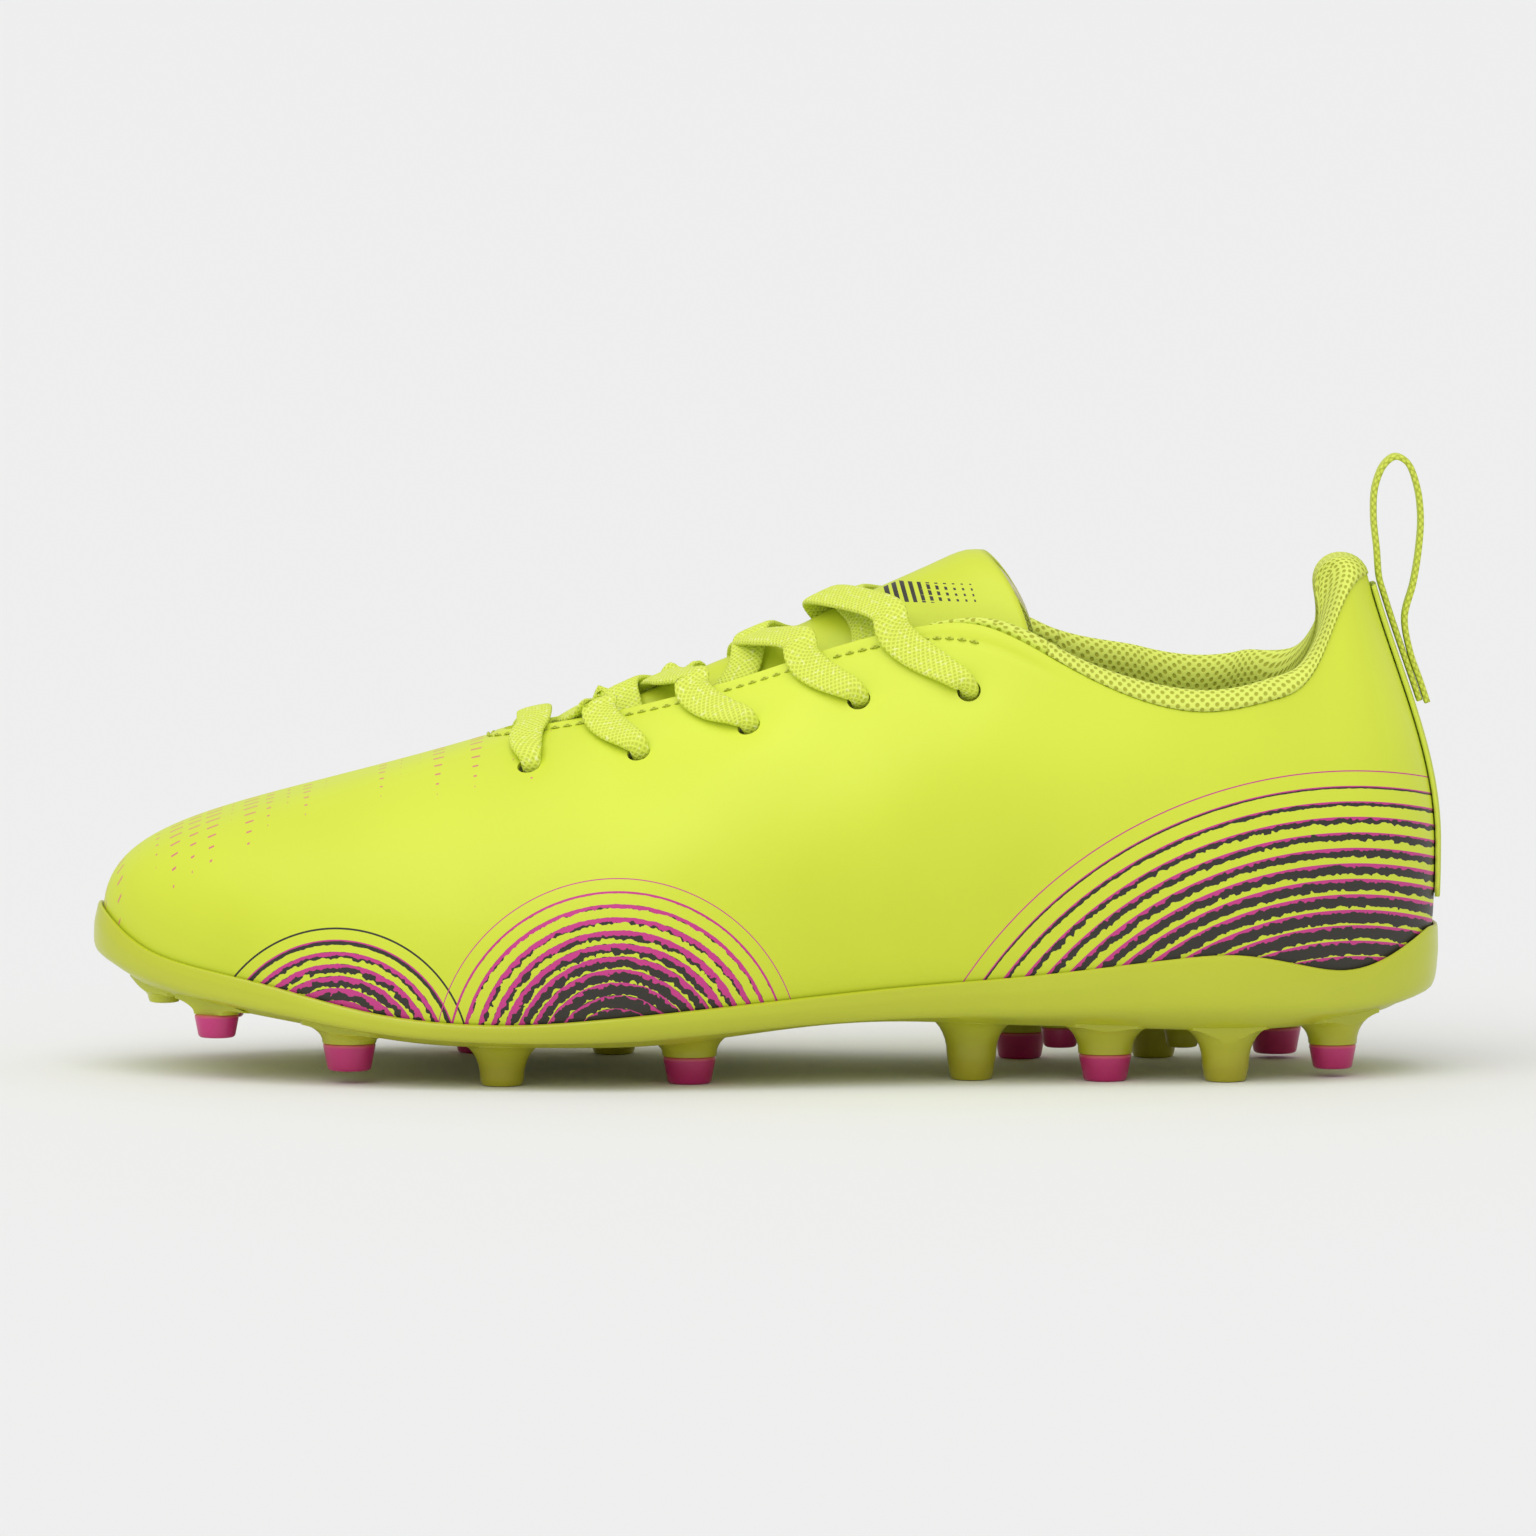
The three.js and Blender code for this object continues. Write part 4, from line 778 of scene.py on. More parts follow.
bed_phis = np.linspace(0, 2 * math.pi, 208, endpoint=False)
bed_bands = np.array([band_at(phi, feather_point(phi)[2] + 3) for phi in bed_phis])
bed_inward = -unit(skin_out(bed_phis, WIDEST_V) * [1, 1, 0])


def bed_ring(lift, inset):
    ring = skin(bed_phis, bed_bands) + bed_inward * inset
    ring[:, 2] = feather_height(ring[:, 0]) + lift
    return ring


def filled(name, rings):
    """A closed piece from rings of points, stacked from one end to the other. Each end is filled
    with strips straight across it."""
    rings = np.array(rings)
    levels, count = rings.shape[:2]
    faces = [[level * count + k, level * count + (k + 1) % count, (level + 1) * count + (k + 1) % count,
              (level + 1) * count + k] for level in range(levels - 1) for k in range(count)]
    for first in (0, (levels - 1) * count):
        faces += [[first, first + 1, first + count - 1],
                  [first + count // 2 - 1, first + count // 2, first + count // 2 + 1]]
        faces += [[first + k, first + k + 1, first + count - k - 1, first + count - k]
                  for k in range(1, count // 2 - 1)]
    return face_outwards(mesh_piece(name, rings.reshape(-1, 3), faces))


SOCKLINER_RIM = [(0, 0.4), (0.3, 0), (1.6, -0.2), (3, -0.2), (3.6, 0), (3.9, 0.5), (SOCKLINER_THICK, 1.4)]
sockliner = filled("sockliner_bed", [bed_ring(SOCKLINER_LIFT + lift, SOCKLINER_INSET + inset)
                                     for lift, inset in SOCKLINER_RIM])
sockliner.data.materials.append(fibre("brushed_knit", "#e6e4c8", "#c9cf86", 0.92))
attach(sockliner, "sockliner")
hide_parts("sockliner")

# Tongue: the same synthetic skin over foam and a knit lining. Its wings lie under the throat
# edges, and its middle bulges up between them and stands proud above the top laces.
LACE_THICK = 1.2
LACE_WIDTH = 6.2
LACE_ROOM = 0.7
LACE_DEPTH = LINING_DEPTH + LINING_THICK + LACE_ROOM + LACE_THICK / 2
TONGUE_DEPTH = LACE_DEPTH + LACE_THICK / 2 + LACE_ROOM
TONGUE_SHELL = 0.9
TONGUE_FOAM = 2.2
TONGUE_LINING = 0.6
bulge_height = curve([(-45.2, 54.6), (-41, 56.6), (-37, 59.2), (-30, 63.6), (-20, 68.4), (-10, 72.7),
                      (0, 76.8), (9.3, 81.4), (23.6, 88), (30.7, 91.2), (35.6, 93), (38.5, 93)])
tongue_base = under(0.0, 1.0, TONGUE_DEPTH)
TONGUE_EDGE_X = 47
TONGUE_TOP_X = 38.5


def tongue_arc(phi, side, t):
    """Cross arc of the tongue, from the throat edge (0) up to its crest (1)."""
    at = phi if side < 0 else 2 * math.pi - phi
    edge = under(at, 1.0, TONGUE_DEPTH)
    reach = (opening_point(phi)[0] - OPENING_ENDS[0]) / (TONGUE_EDGE_X - OPENING_ENDS[0])
    crest_x = tongue_base[0] + (TONGUE_TOP_X - tongue_base[0]) * reach
    crest = np.array([crest_x, tongue_base[1] * (1 - ramp(reach, 0, 0.2)), bulge_height(crest_x)])
    if reach < 1e-6:
        crest = tongue_base
    shoulder = edge + top_up(at) * np.linalg.norm(crest - edge) * 0.4
    brow = crest + (edge - crest) * [0.15, 0.5, 0]
    return bezier(edge, shoulder, brow, crest, t)


TONGUE_ROWS = 78
WING_POINTS = 12
tongue_phis = np.linspace(0, float(opening_phi(TONGUE_EDGE_X)), TONGUE_ROWS)
wing_bands = np.linspace(0.7, 1, WING_POINTS)
arc_steps = np.linspace(0.08, 1, 14)
tongue_rows = []
for phi in tongue_phis:
    halves = []
    for side in (-1, 1):
        at = phi if side < 0 else 2 * math.pi - phi
        wing = under(at, wing_bands, np.full(WING_POINTS, TONGUE_DEPTH))
        halves.append(np.concatenate([wing, tongue_arc(phi, side, arc_steps)]))
    tongue_rows.append(np.concatenate([halves[0], halves[1][-2::-1]]))
tongue_grid = np.array(tongue_rows)
fold = tongue_grid[1][::-1]
down_tongue = np.gradient(tongue_grid, axis=0)
down_tongue[0] = tongue_grid[1] - fold
cross_tongue = np.gradient(tongue_grid, axis=1)
tongue_out = np.cross(down_tongue, cross_tongue)
middle = tongue_grid.shape[1] // 2
tongue_out[0, WING_POINTS:-WING_POINTS] = tongue_out[0, WING_POINTS - 1]
tongue_out = unit(tongue_out)
tongue_out *= np.sign(tongue_out[TONGUE_ROWS // 2, middle, 2])
for evening in range(30):
    inside = unit(tongue_out[:, 1:-1] + tongue_out[:, :-2] + tongue_out[:, 2:])
    tongue_out = np.concatenate([tongue_out[:, :1], inside, tongue_out[:, -1:]], 1)


def tongue_layer(name, depth, thick, round_edge=0.0):
    top, bottom = tongue_grid - tongue_out * depth, tongue_grid - tongue_out * (depth + thick)
    top[-1] -= unit(down_tongue[-1]) * round_edge
    return face_outwards(tube_of(name, np.concatenate([top, bottom[:, ::-1]], 1)))


# Synthetic leather as on the upper. The hatch is slanted dark bars that thin out towards the
# ankle and break up into dots, inside a box of limits in x, y and z.
HATCH_BOX = ((20.5, 37.0), (-30.0, -1.5), (84.2, 87.6))
HATCH_PITCH = 1.55
HATCH_LEAN = 0.3
DOT_PITCH = 0.95
tongue_skin, tongue_surface = new_material("tongue_leather", Roughness=0.42, Specular_IOR_Level=0.42)
tongue_spot = add_node(tongue_skin, "ShaderNodeTexCoord").outputs["Object"]
tongue_mm = add_node(tongue_skin, "ShaderNodeVectorMath", {0: tongue_spot, "Scale": 1000.0},
                     operation="SCALE").outputs[0]
tongue_axes = add_node(tongue_skin, "ShaderNodeSeparateXYZ", {0: tongue_mm})
lean = add_node(tongue_skin, "ShaderNodeMath", {
    0: tongue_axes.outputs[2], 1: HATCH_LEAN, 2: tongue_axes.outputs[0]}, operation="MULTIPLY_ADD").outputs[0]
bar_at = add_node(tongue_skin, "ShaderNodeMath", {0: lean, 1: HATCH_PITCH}, operation="DIVIDE").outputs[0]
bar_share = add_node(tongue_skin, "ShaderNodeMath", {0: bar_at}, operation="FRACT").outputs[0]
bar_width = add_node(tongue_skin, "ShaderNodeMapRange", {
    "Value": tongue_axes.outputs[0], "From Min": HATCH_BOX[0][0], "From Max": 41.0,
    "To Min": 0.62, "To Max": 0.1}).outputs[0]
bar = add_node(tongue_skin, "ShaderNodeMath", {0: bar_share, 1: bar_width}, operation="LESS_THAN").outputs[0]
dot_at = add_node(tongue_skin, "ShaderNodeMath", {0: tongue_axes.outputs[2], 1: DOT_PITCH},
                  operation="DIVIDE").outputs[0]
dot_share = add_node(tongue_skin, "ShaderNodeMath", {0: dot_at}, operation="FRACT").outputs[0]
dot_limit = add_node(tongue_skin, "ShaderNodeMapRange", {
    "Value": tongue_axes.outputs[0], "From Min": 27.0, "From Max": 33.0,
    "To Min": 1.0, "To Max": 0.42}).outputs[0]
dots = add_node(tongue_skin, "ShaderNodeMath", {0: dot_share, 1: dot_limit}, operation="LESS_THAN").outputs[0]
patch = add_node(tongue_skin, "ShaderNodeMath", {0: bar, 1: dots}, operation="MULTIPLY").outputs[0]
for axis, limits in zip(tongue_axes.outputs, HATCH_BOX):
    for limit, operation in zip(limits, ("GREATER_THAN", "LESS_THAN")):
        kept = add_node(tongue_skin, "ShaderNodeMath", {0: axis, 1: limit}, operation=operation).outputs[0]
        patch = add_node(tongue_skin, "ShaderNodeMath", {0: patch, 1: kept}, operation="MULTIPLY").outputs[0]
tongue_cloud = add_node(tongue_skin, "ShaderNodeTexNoise", {"Vector": tongue_mm, "Scale": 0.03}).outputs[0]
tongue_plain = add_node(tongue_skin, "ShaderNodeMix", {
    "Factor": tongue_cloud, 6: linear(YELLOW), 7: linear(YELLOW_DEEP)}, data_type="RGBA").outputs[2]
tongue_colour = add_node(tongue_skin, "ShaderNodeMix", {
    "Factor": patch, 6: tongue_plain, 7: linear(INK_DARK)}, data_type="RGBA").outputs[2]
tongue_grain = add_node(tongue_skin, "ShaderNodeTexVoronoi", {
    "Vector": tongue_mm, "Scale": GRAIN_SCALE}).outputs["Distance"]
finish_surface(tongue_skin, tongue_surface, tongue_colour, tongue_grain, *GRAIN_RELIEF)

foam_depth = TONGUE_SHELL + GAP
tongue = tongue_layer("tongue_face", 0, TONGUE_SHELL, 0.3)
tongue.data.materials.append(tongue_skin)
tongue_core = tongue_layer("tongue_padding", foam_depth, TONGUE_FOAM)
tongue_core.data.materials.append(fibre("tongue_foam_cell", "#efe9c4", "#cfc99a", 0.95))
tongue_back = tongue_layer("tongue_knit", foam_depth + TONGUE_FOAM + GAP, TONGUE_LINING)
tongue_back.data.materials.append(woven("tongue_lining_knit", "#d3df5c", "#a9b33a", 1.3, Roughness=0.85))
for piece, node, slot in ((tongue, "tongue_shell", "upper_synthetic"), (tongue_core, "tongue_foam", "foam"),
                          (tongue_back, "tongue_lining", "lining")):
    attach(piece, "tongue")
    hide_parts(node)

# Lace: one flat braided cord of polyester, threaded from outside through five pairs of holes.
# Each knot holds a place, a width direction, and the half width and half thickness there.
SQUEEZE = (1.5, 0.85)
PROUD = -(GAP + LACE_THICK / 2 + 0.1)
OVER_EDGE = PROUD - 0.95
ON_TONGUE = LACE_THICK / 2 + GAP + 0.5
ON_STRAND = ON_TONGUE + LACE_THICK + GAP + 0.1
HALF = (LACE_WIDTH / 2, LACE_THICK / 2)
PLUMP = (1.04, 1.25)
CROSSINGS = {1: ((-30, -35, -40), (-28, -31, -39.5), -1), 2: ((-13.5, -18, -26), (-13.5, -24.5, -29), 1),
             3: ((6, -0.5, -9), (6, 2, -13), 1), 4: ((22, 15, 12), (22, 20, 15), -1)}
TAIL = [(36, 0.76, 0), (33, 0.71, 0), (28, 0.655, 0.3), (21, 0.615, 0.9), (13, 0.6, 1), (4, 0.6, 1),
        (-5, 0.6, 1.1), (-12, 0.61, 1.1)]
TAIL_WIDE = 2.5
LACE_END_X = 40
BAR_X = -41.5


def band_phi(x, side):
    phi = float(opening_phi(x))
    return phi if side < 0 else 2 * math.pi - phi


def band_knot(x, side, v, depth, wide=HALF[0], thick=HALF[1]):
    phi = band_phi(x, side)
    across = unit(skin(phi + STEP, v) - skin(phi - STEP, v))
    return under(phi, v, depth), across, wide, thick


def tongue_knot(x, side, t, lift):
    phi = float(opening_phi(x))
    at = tongue_arc(phi, side, t)
    along = unit(tongue_arc(phi + STEP, side, t) - tongue_arc(phi - STEP, side, t))
    near = tongue_arc(phi, -side, 0.96) if t > 0.98 else tongue_arc(phi, side, min(1, t + 0.02))
    up = unit(np.cross(along, near - at))
    return at + (up if up[2] > 0 else -up) * lift, along, *HALF


def past_edge_knot(x, side):
    place, across, wide, thick = band_knot(x, side, 1, OVER_EDGE)
    return place + top_up(band_phi(x, side)) * 2.5 + [0, 0, 0.7], across, wide, thick


def blend_of(a, b, share):
    return a + (b - a) * share


def hole_knots(index, side, inside_x, outside_x, from_below=False):
    """Passage of the lace through a hole, from the inside of the shoe to the outside."""
    phi, v = eyelets[index]
    at = phi if side < 0 else 2 * math.pi - phi
    x = float(opening_point(phi)[0])
    across = unit(skin(at + STEP, v) - skin(at - STEP, v))
    start = v - 0.04 if from_below else blend_of(v, 1, 0.45)
    turn = v - 0.008 if from_below else v + 0.008
    return [band_knot(blend_of(x, inside_x, 0.45), side, start, LACE_DEPTH, 2.8),
            (under(at, turn, LACE_DEPTH), across, 2, 0.6),
            (under(at, v, LINING_DEPTH - 1), across, *SQUEEZE),
            (under(at, v + 0.006, -1), across, 1.8, 0.75),
            band_knot(blend_of(x, outside_x, 0.4), side, blend_of(v, 1, 0.42), PROUD, 2.9),
            band_knot(blend_of(x, outside_x, 0.74), side, blend_of(v, 1, 0.74), PROUD - 0.2)]


def strand_knots(hole, side):
    """Strand from its own throat edge, over the tongue, and under the far edge."""
    lateral, medial, top = CROSSINGS[hole]
    edge, crest, dip = lateral if side < 0 else medial
    lift = ON_STRAND if top == side else ON_TONGUE
    return [band_knot(edge, side, 1, OVER_EDGE),
            past_edge_knot(blend_of(edge, crest, 0.15), side),
            tongue_knot(blend_of(edge, crest, 0.6), side, 0.6, ON_STRAND + 2),
            tongue_knot(crest, side, 1, lift),
            tongue_knot(blend_of(crest, dip, 0.5), -side, 0.5, ON_TONGUE),
            tongue_knot(blend_of(crest, dip, 0.9), -side, 0.1, ON_TONGUE + 0.25),
            band_knot(dip, -side, 0.99, LACE_DEPTH + 0.1)]


def half_lace(start):
    run = [band_knot(x, start, v, LACE_DEPTH + inward, TAIL_WIDE) for x, v, inward in reversed(TAIL)]
    side, inside = start, LACE_END_X
    for hole in (4, 3, 2, 1):
        strand = CROSSINGS[hole][0 if side < 0 else 1]
        run += hole_knots(hole, side, inside, strand[0], hole == 4)
        run += strand_knots(hole, side)
        inside, side = strand[2], -side
    return run + hole_knots(0, side, inside, BAR_X)


bar = [band_knot(BAR_X, -1, 1, PROUD),
       (np.array([-41.8, 0.4, 64.6]), unit(np.array([1, 0, 0.25])), *HALF),
       band_knot(BAR_X, 1, 1, PROUD)]
knots = half_lace(-1) + bar + half_lace(1)[::-1]


def flowing(points, step):
    """A smooth line through points: their places, and the knot number at each."""
    ends = np.concatenate([[2 * points[0] - points[1]], points, [2 * points[-1] - points[-2]]])
    line, numbers = [], []
    for i in range(len(points) - 1):
        p0, p1, p2, p3 = ends[i:i + 4]
        d0, d1, d2 = (math.sqrt(np.linalg.norm(b - a)) for a, b in ((p0, p1), (p1, p2), (p2, p3)))
        m1 = ((p1 - p0) / d0 - (p2 - p0) / (d0 + d1) + (p2 - p1) / d1) * d1
        m2 = ((p2 - p1) / d1 - (p3 - p1) / (d1 + d2) + (p3 - p2) / d2) * d1
        count = max(2, math.ceil(np.linalg.norm(p2 - p1) / step))
        for t in np.arange(count) / count:
            line.append(p1 + m1 * t + (3 * (p2 - p1) - 2 * m1 - m2) * t * t
                        + (2 * (p1 - p2) + m1 + m2) * t ** 3)
            numbers.append(i + t)
    return np.array(line + [points[-1]]), np.array(numbers + [len(points) - 1.0])


def eased(values, passes):
    """Values evened out along a line, with its ends kept."""
    for turn in range(passes):
        values = np.concatenate([values[:1], (values[:-2] + 2 * values[1:-1] + values[2:]) / 4, values[-1:]])
    return values


def cord_along(name, knots, step, sides, square):
    line, numbers = flowing(np.array([knot[0] for knot in knots]), step)
    line = eased(line, 14)
    widths = [np.array(knots[0][1], float)]
    for knot in knots[1:]:
        widths.append(np.array(knot[1]) * (1 if np.dot(knot[1], widths[-1]) >= 0 else -1))
    order = np.arange(len(knots))
    across = np.stack([np.interp(numbers, order, np.array(widths)[:, k]) for k in range(3)], -1)
    wide = eased(np.interp(numbers, order, [knot[2] for knot in knots]), 6) * PLUMP[0]
    thick = eased(np.interp(numbers, order, [knot[3] for knot in knots]), 6) * PLUMP[1]
    return face_outwards(swept(name, line, eased(unit(across), 16), wide, thick, sides, square))


lace = cord_along("lace_cord", knots, 0.8, 20, 2.7)
# Braided polyester, semi-matt: two slanted ridges cross on it, with painted shade in the grooves
# between them, and pale flecks of painted highlight where the filaments lie on top.
LACE_PAINTED_GLINT = "#f2f99c"
LACE_BASE = "#e6f458"
LACE_SHADE = "#c9d63c"
braid, braid_surface = new_material("braided_polyester", Roughness=0.6)
braid_run = add_node(braid, "ShaderNodeUVMap", uv_map="run").outputs[0]
ridges = []
for lean_angle in (38, -38):
    tilted = add_node(braid, "ShaderNodeMapping", {
        "Vector": braid_run, "Rotation": (0, 0, math.radians(lean_angle))}).outputs[0]
    ridges.append(add_node(braid, "ShaderNodeTexWave", {
        "Vector": tilted, "Scale": 0.42, "Distortion": 0.3, "Detail": 1.0}).outputs["Fac"])
weave = add_node(braid, "ShaderNodeMath", {0: ridges[0], 1: ridges[1]}, operation="MAXIMUM").outputs[0]
glint_noise = add_node(braid, "ShaderNodeTexNoise", {"Vector": braid_run, "Scale": 1.1, "Detail": 2.0}).outputs[0]
glint_spots = add_node(braid, "ShaderNodeMapRange", {"Value": glint_noise, "From Min": 0.56, "From Max": 0.66}).outputs[0]
ground = add_node(braid, "ShaderNodeMix", {"Factor": weave, 6: linear(LACE_SHADE), 7: linear(LACE_BASE)},
                  data_type="RGBA").outputs[2]
painted_glints = add_node(braid, "ShaderNodeMath", {0: glint_spots, 1: weave}, operation="MULTIPLY").outputs[0]
braid_colour = add_node(braid, "ShaderNodeMix", {"Factor": painted_glints, 6: ground, 7: linear(LACE_PAINTED_GLINT)},
                        data_type="RGBA").outputs[2]
finish_surface(braid, braid_surface, braid_colour, weave, 0.55, 0.0003)
lace.data.materials.append(braid)
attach(lace, "shoe")
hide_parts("lace")

# Aglets: clear plastic film rolled hard round each end of the lace, glossy over the dyed braid.
aglet_film, aglet_surface = new_material("aglet_film", Roughness=0.18, Coat_Weight=0.6)
film_spot = add_node(aglet_film, "ShaderNodeTexCoord").outputs["Object"]
film_cloud = add_node(aglet_film, "ShaderNodeTexNoise", {"Vector": film_spot, "Scale": 400.0}).outputs[0]
film_colour = add_node(aglet_film, "ShaderNodeMix", {
    "Factor": film_cloud, 6: linear("#dbe84e"), 7: linear("#cfdc40")}, data_type="RGBA").outputs[2]
aglet_film.node_tree.links.new(film_colour, aglet_surface.inputs["Base Color"])
AGLET_RUN = [(-17, 0.615, 1.2), (-23, 0.62, 1.3)]
for name, node, side in (("aglet_tip_outer", "aglet_lateral", -1), ("aglet_tip_inner", "aglet_medial", 1)):
    before, end = [band_knot(x, side, v, LACE_DEPTH + inward)[0] for x, v, inward in TAIL[-2:]]
    run = [end + unit(end - before) * GAP]
    run += [band_knot(x, side, v, LACE_DEPTH + inward)[0] for x, v, inward in AGLET_RUN]
    tip_knots = [(place, top_up(band_phi(-17, side)), 1.5, 1.0) for place in run]
    tip = cord_along(name, tip_knots, 0.8, 16, 2.0)
    tip.data.materials.append(aglet_film)
    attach(tip, "shoe")
    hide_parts(node)

# Heel tape and pull loop: strong flat webbing. The tape covers the back seam, and the loop is
# sewn to it low down, then stands up as a finger loop.
TAPE_HALF_ANGLE = 0.079
TAPE_THICK = 0.8
LOOP_WIDTH = 6.5
LOOP_THICK = 1.1
webbing = woven("polyester_webbing", "#dfec54", "#b7c23c", 1.05, Roughness=0.65)
tape_phis = np.linspace(math.pi - TAPE_HALF_ANGLE, math.pi + TAPE_HALF_ANGLE, 12)[:, None]
tape_bands = np.linspace(0.165, 0.97, 60)[None, :]
tape_rows = [under(tape_phis, tape_bands, depth + 0 * tape_phis * tape_bands)
             for depth in (-(GAP + TAPE_THICK), -GAP)]
tape = layered("heel_seam_tape", *tape_rows)
tape.data.materials.append(webbing)
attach(tape, "shoe")
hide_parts("heel_tape")


def heel_back(z, stand):
    """Distance of the heel's back face, with its tape, from the centre at a height."""
    low, high = WIDEST_V, 1.0
    for halving in range(20):
        v = (low + high) / 2
        low, high = (v, high) if under(math.pi, v, -stand)[2] < z else (low, v)
    return float(under(math.pi, low, -stand)[0])


LOOP_STAND = GAP + TAPE_THICK + GAP
outer_line = [(heel_back(z, LOOP_STAND), z) for z in (66, 69, 73, 77, 81, 85, 88)]
outer_line += [(108, 93), (107.4, 99), (107.7, 104.5), (109.4, 108.6), (111.8, 110.2), (114.4, 108.9),
               (116.2, 104.5), (116.9, 99), (116.6, 93.5), (115.6, 87), (114.1, 81)]
outer_line += [(heel_back(z, LOOP_STAND + 2 * LOOP_THICK + 0.1), z) for z in (75, 70, 66)]
outer_line = np.array(outer_line)
loop_along = unit(np.gradient(outer_line, axis=0))
loop_inward = np.stack([loop_along[:, 1], -loop_along[:, 0]], -1)
loop_middle = outer_line + loop_inward * LOOP_THICK / 2
loop_path = flowing(np.stack([loop_middle[:, 0], 0 * loop_middle[:, 0], loop_middle[:, 1]], -1), 0.6)[0]
loop = swept("finger_loop", loop_path, np.broadcast_to([0.0, 1.0, 0.0], loop_path.shape), LOOP_WIDTH / 2,
             LOOP_THICK / 2, 20, 5.0)
face_outwards(loop)
loop.data.materials.append(webbing)
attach(loop, "pull_loop")
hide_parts("pull_loop")

# Outsole: one injection-moulded TPU plate that cups the upper, with ten short sockets and eight
# full studs moulded in one with it. Every stud flares into the plate, and edges are soft.
PLATE_WALL = 2.2
PLATE_LIP = 0.8
STUD_TIP_HEIGHT = 4.9
STUD_TIP_RADIUS = 3.8
STUD_ROOT_RADIUS = 5.7
lip_height = curve([(-119, 29.6), (-112.8, 24.2), (-103.7, 20.7), (-90, 18.1), (-72, 13.9), (-55, 12),
                    (-45, 11.9), (-30, 12.9), (0, 15.8), (24, 18.1), (50, 20.1), (73, 22.6), (83, 23.1),
                    (96, 20.9), (103, 19.9), (109.5, 21.3), (117.5, 26.2)])
plate_bottom = curve([(-119, 21), (-112, 15.6), (-105, 13.8), (-94, 12.2), (-80, 10.2), (-62, 7.8),
                      (-40, 7.3), (-20, 7.6), (-5, 9.1), (9, 10.6), (22, 11.1), (40, 10.4), (60, 9.8),
                      (95, 9.8), (108, 11.2), (114, 12.5), (118, 15)])
# Each stud: its place in x and y, its ground face's height, its kind, and its size.
STUDS = [(-107.7, -6, 12.5, "moulded", 0.75), (-97.9, -17, 7.3, "tipped", 0.85),
         (-97.9, 21, 7.3, "tipped", 0.85), (-74.1, -26, 2.3, "tipped", 1),
         (-74.1, 30, 2.3, "moulded", 1), (-47, -30, 0, "moulded", 1),
         (-52.3, 30, 0, "tipped", 1), (-13.9, -26, 0, "tipped", 1), (-27.9, 28, 0, "moulded", 1),
         (36.1, -19, 0, "moulded", 1), (45.4, 20, 0, "tipped", 1), (59.8, -21, 0, "tipped", 1),
         (69.5, 22, 0, "moulded", 1), (81.1, -22, 0, "moulded", 1), (91.4, 20, 0.9, "tipped", 1),
         (100.4, -14, 1.5, "tipped", 0.9), (52.3, 1, 3.8, "tipped", 0.75), (74.1, 1, 3.8, "moulded", 0.75)]
PLATE_STATIONS = 260
plate_phis = np.linspace(0, 2 * math.pi, PLATE_STATIONS, endpoint=False)
lip_bands = np.array([band_at(phi, lip_height(widest_point(phi)[0])) for phi in plate_phis])
plate_inward = -unit(skin_out(plate_phis, WIDEST_V) * [1, 1, 0])


def wall_ring(share, proud):
    return under(plate_phis, share * lip_bands, np.full(PLATE_STATIONS, -proud))


def bottom_ring(inset, lift):
    ring = feather_point(plate_phis) + plate_inward * inset
    ring[:, 2] = plate_bottom(ring[:, 0]) + lift
    return ring


def seat_ring(inset):
    ring = feather_point(plate_phis) + plate_inward * inset
    ring[:, 2] = feather_height(ring[:, 0]) - GAP
    return ring


# The plate's section, from its bottom up to the lip: five rings with a smooth curve through them.
shape = np.array([bottom_ring(3, 0), bottom_ring(-0.2, 0.9), wall_ring(0.35, GAP + PLATE_WALL),
                  wall_ring(0.7, GAP + (PLATE_LIP + PLATE_WALL) / 2), wall_ring(0.97, GAP + PLATE_LIP)])
fine = []
for i in range(len(shape) - 1):
    before = shape[max(i - 1, 0)] if i else 2 * shape[0] - (shape[1] + [0, 0, -1.4])
    after = shape[i + 2] if i + 2 < len(shape) else 2 * shape[-1] - shape[-2]
    for t in np.arange(5) / 5:
        m1, m2 = (shape[i + 1] - before) / 2, (after - shape[i]) / 2
        fine.append(shape[i] + m1 * t + (3 * (shape[i + 1] - shape[i]) - 2 * m1 - m2) * t * t
                    + (2 * (shape[i] - shape[i + 1]) + m1 + m2) * t ** 3)
lip_top = [wall_ring(0.97, GAP + PLATE_LIP), wall_ring(1.0, GAP + PLATE_LIP * 0.8),
           wall_ring(1.01, GAP + PLATE_LIP * 0.4)]
lip_top += [wall_ring(share, GAP) for share in (1.0, 0.6, 0.25, 0)]
plate = filled("sole_plate", [*fine, *lip_top, seat_ring(1.2)])
FLARE_WIDE = 4.0
FLARE_HIGH = 6.0


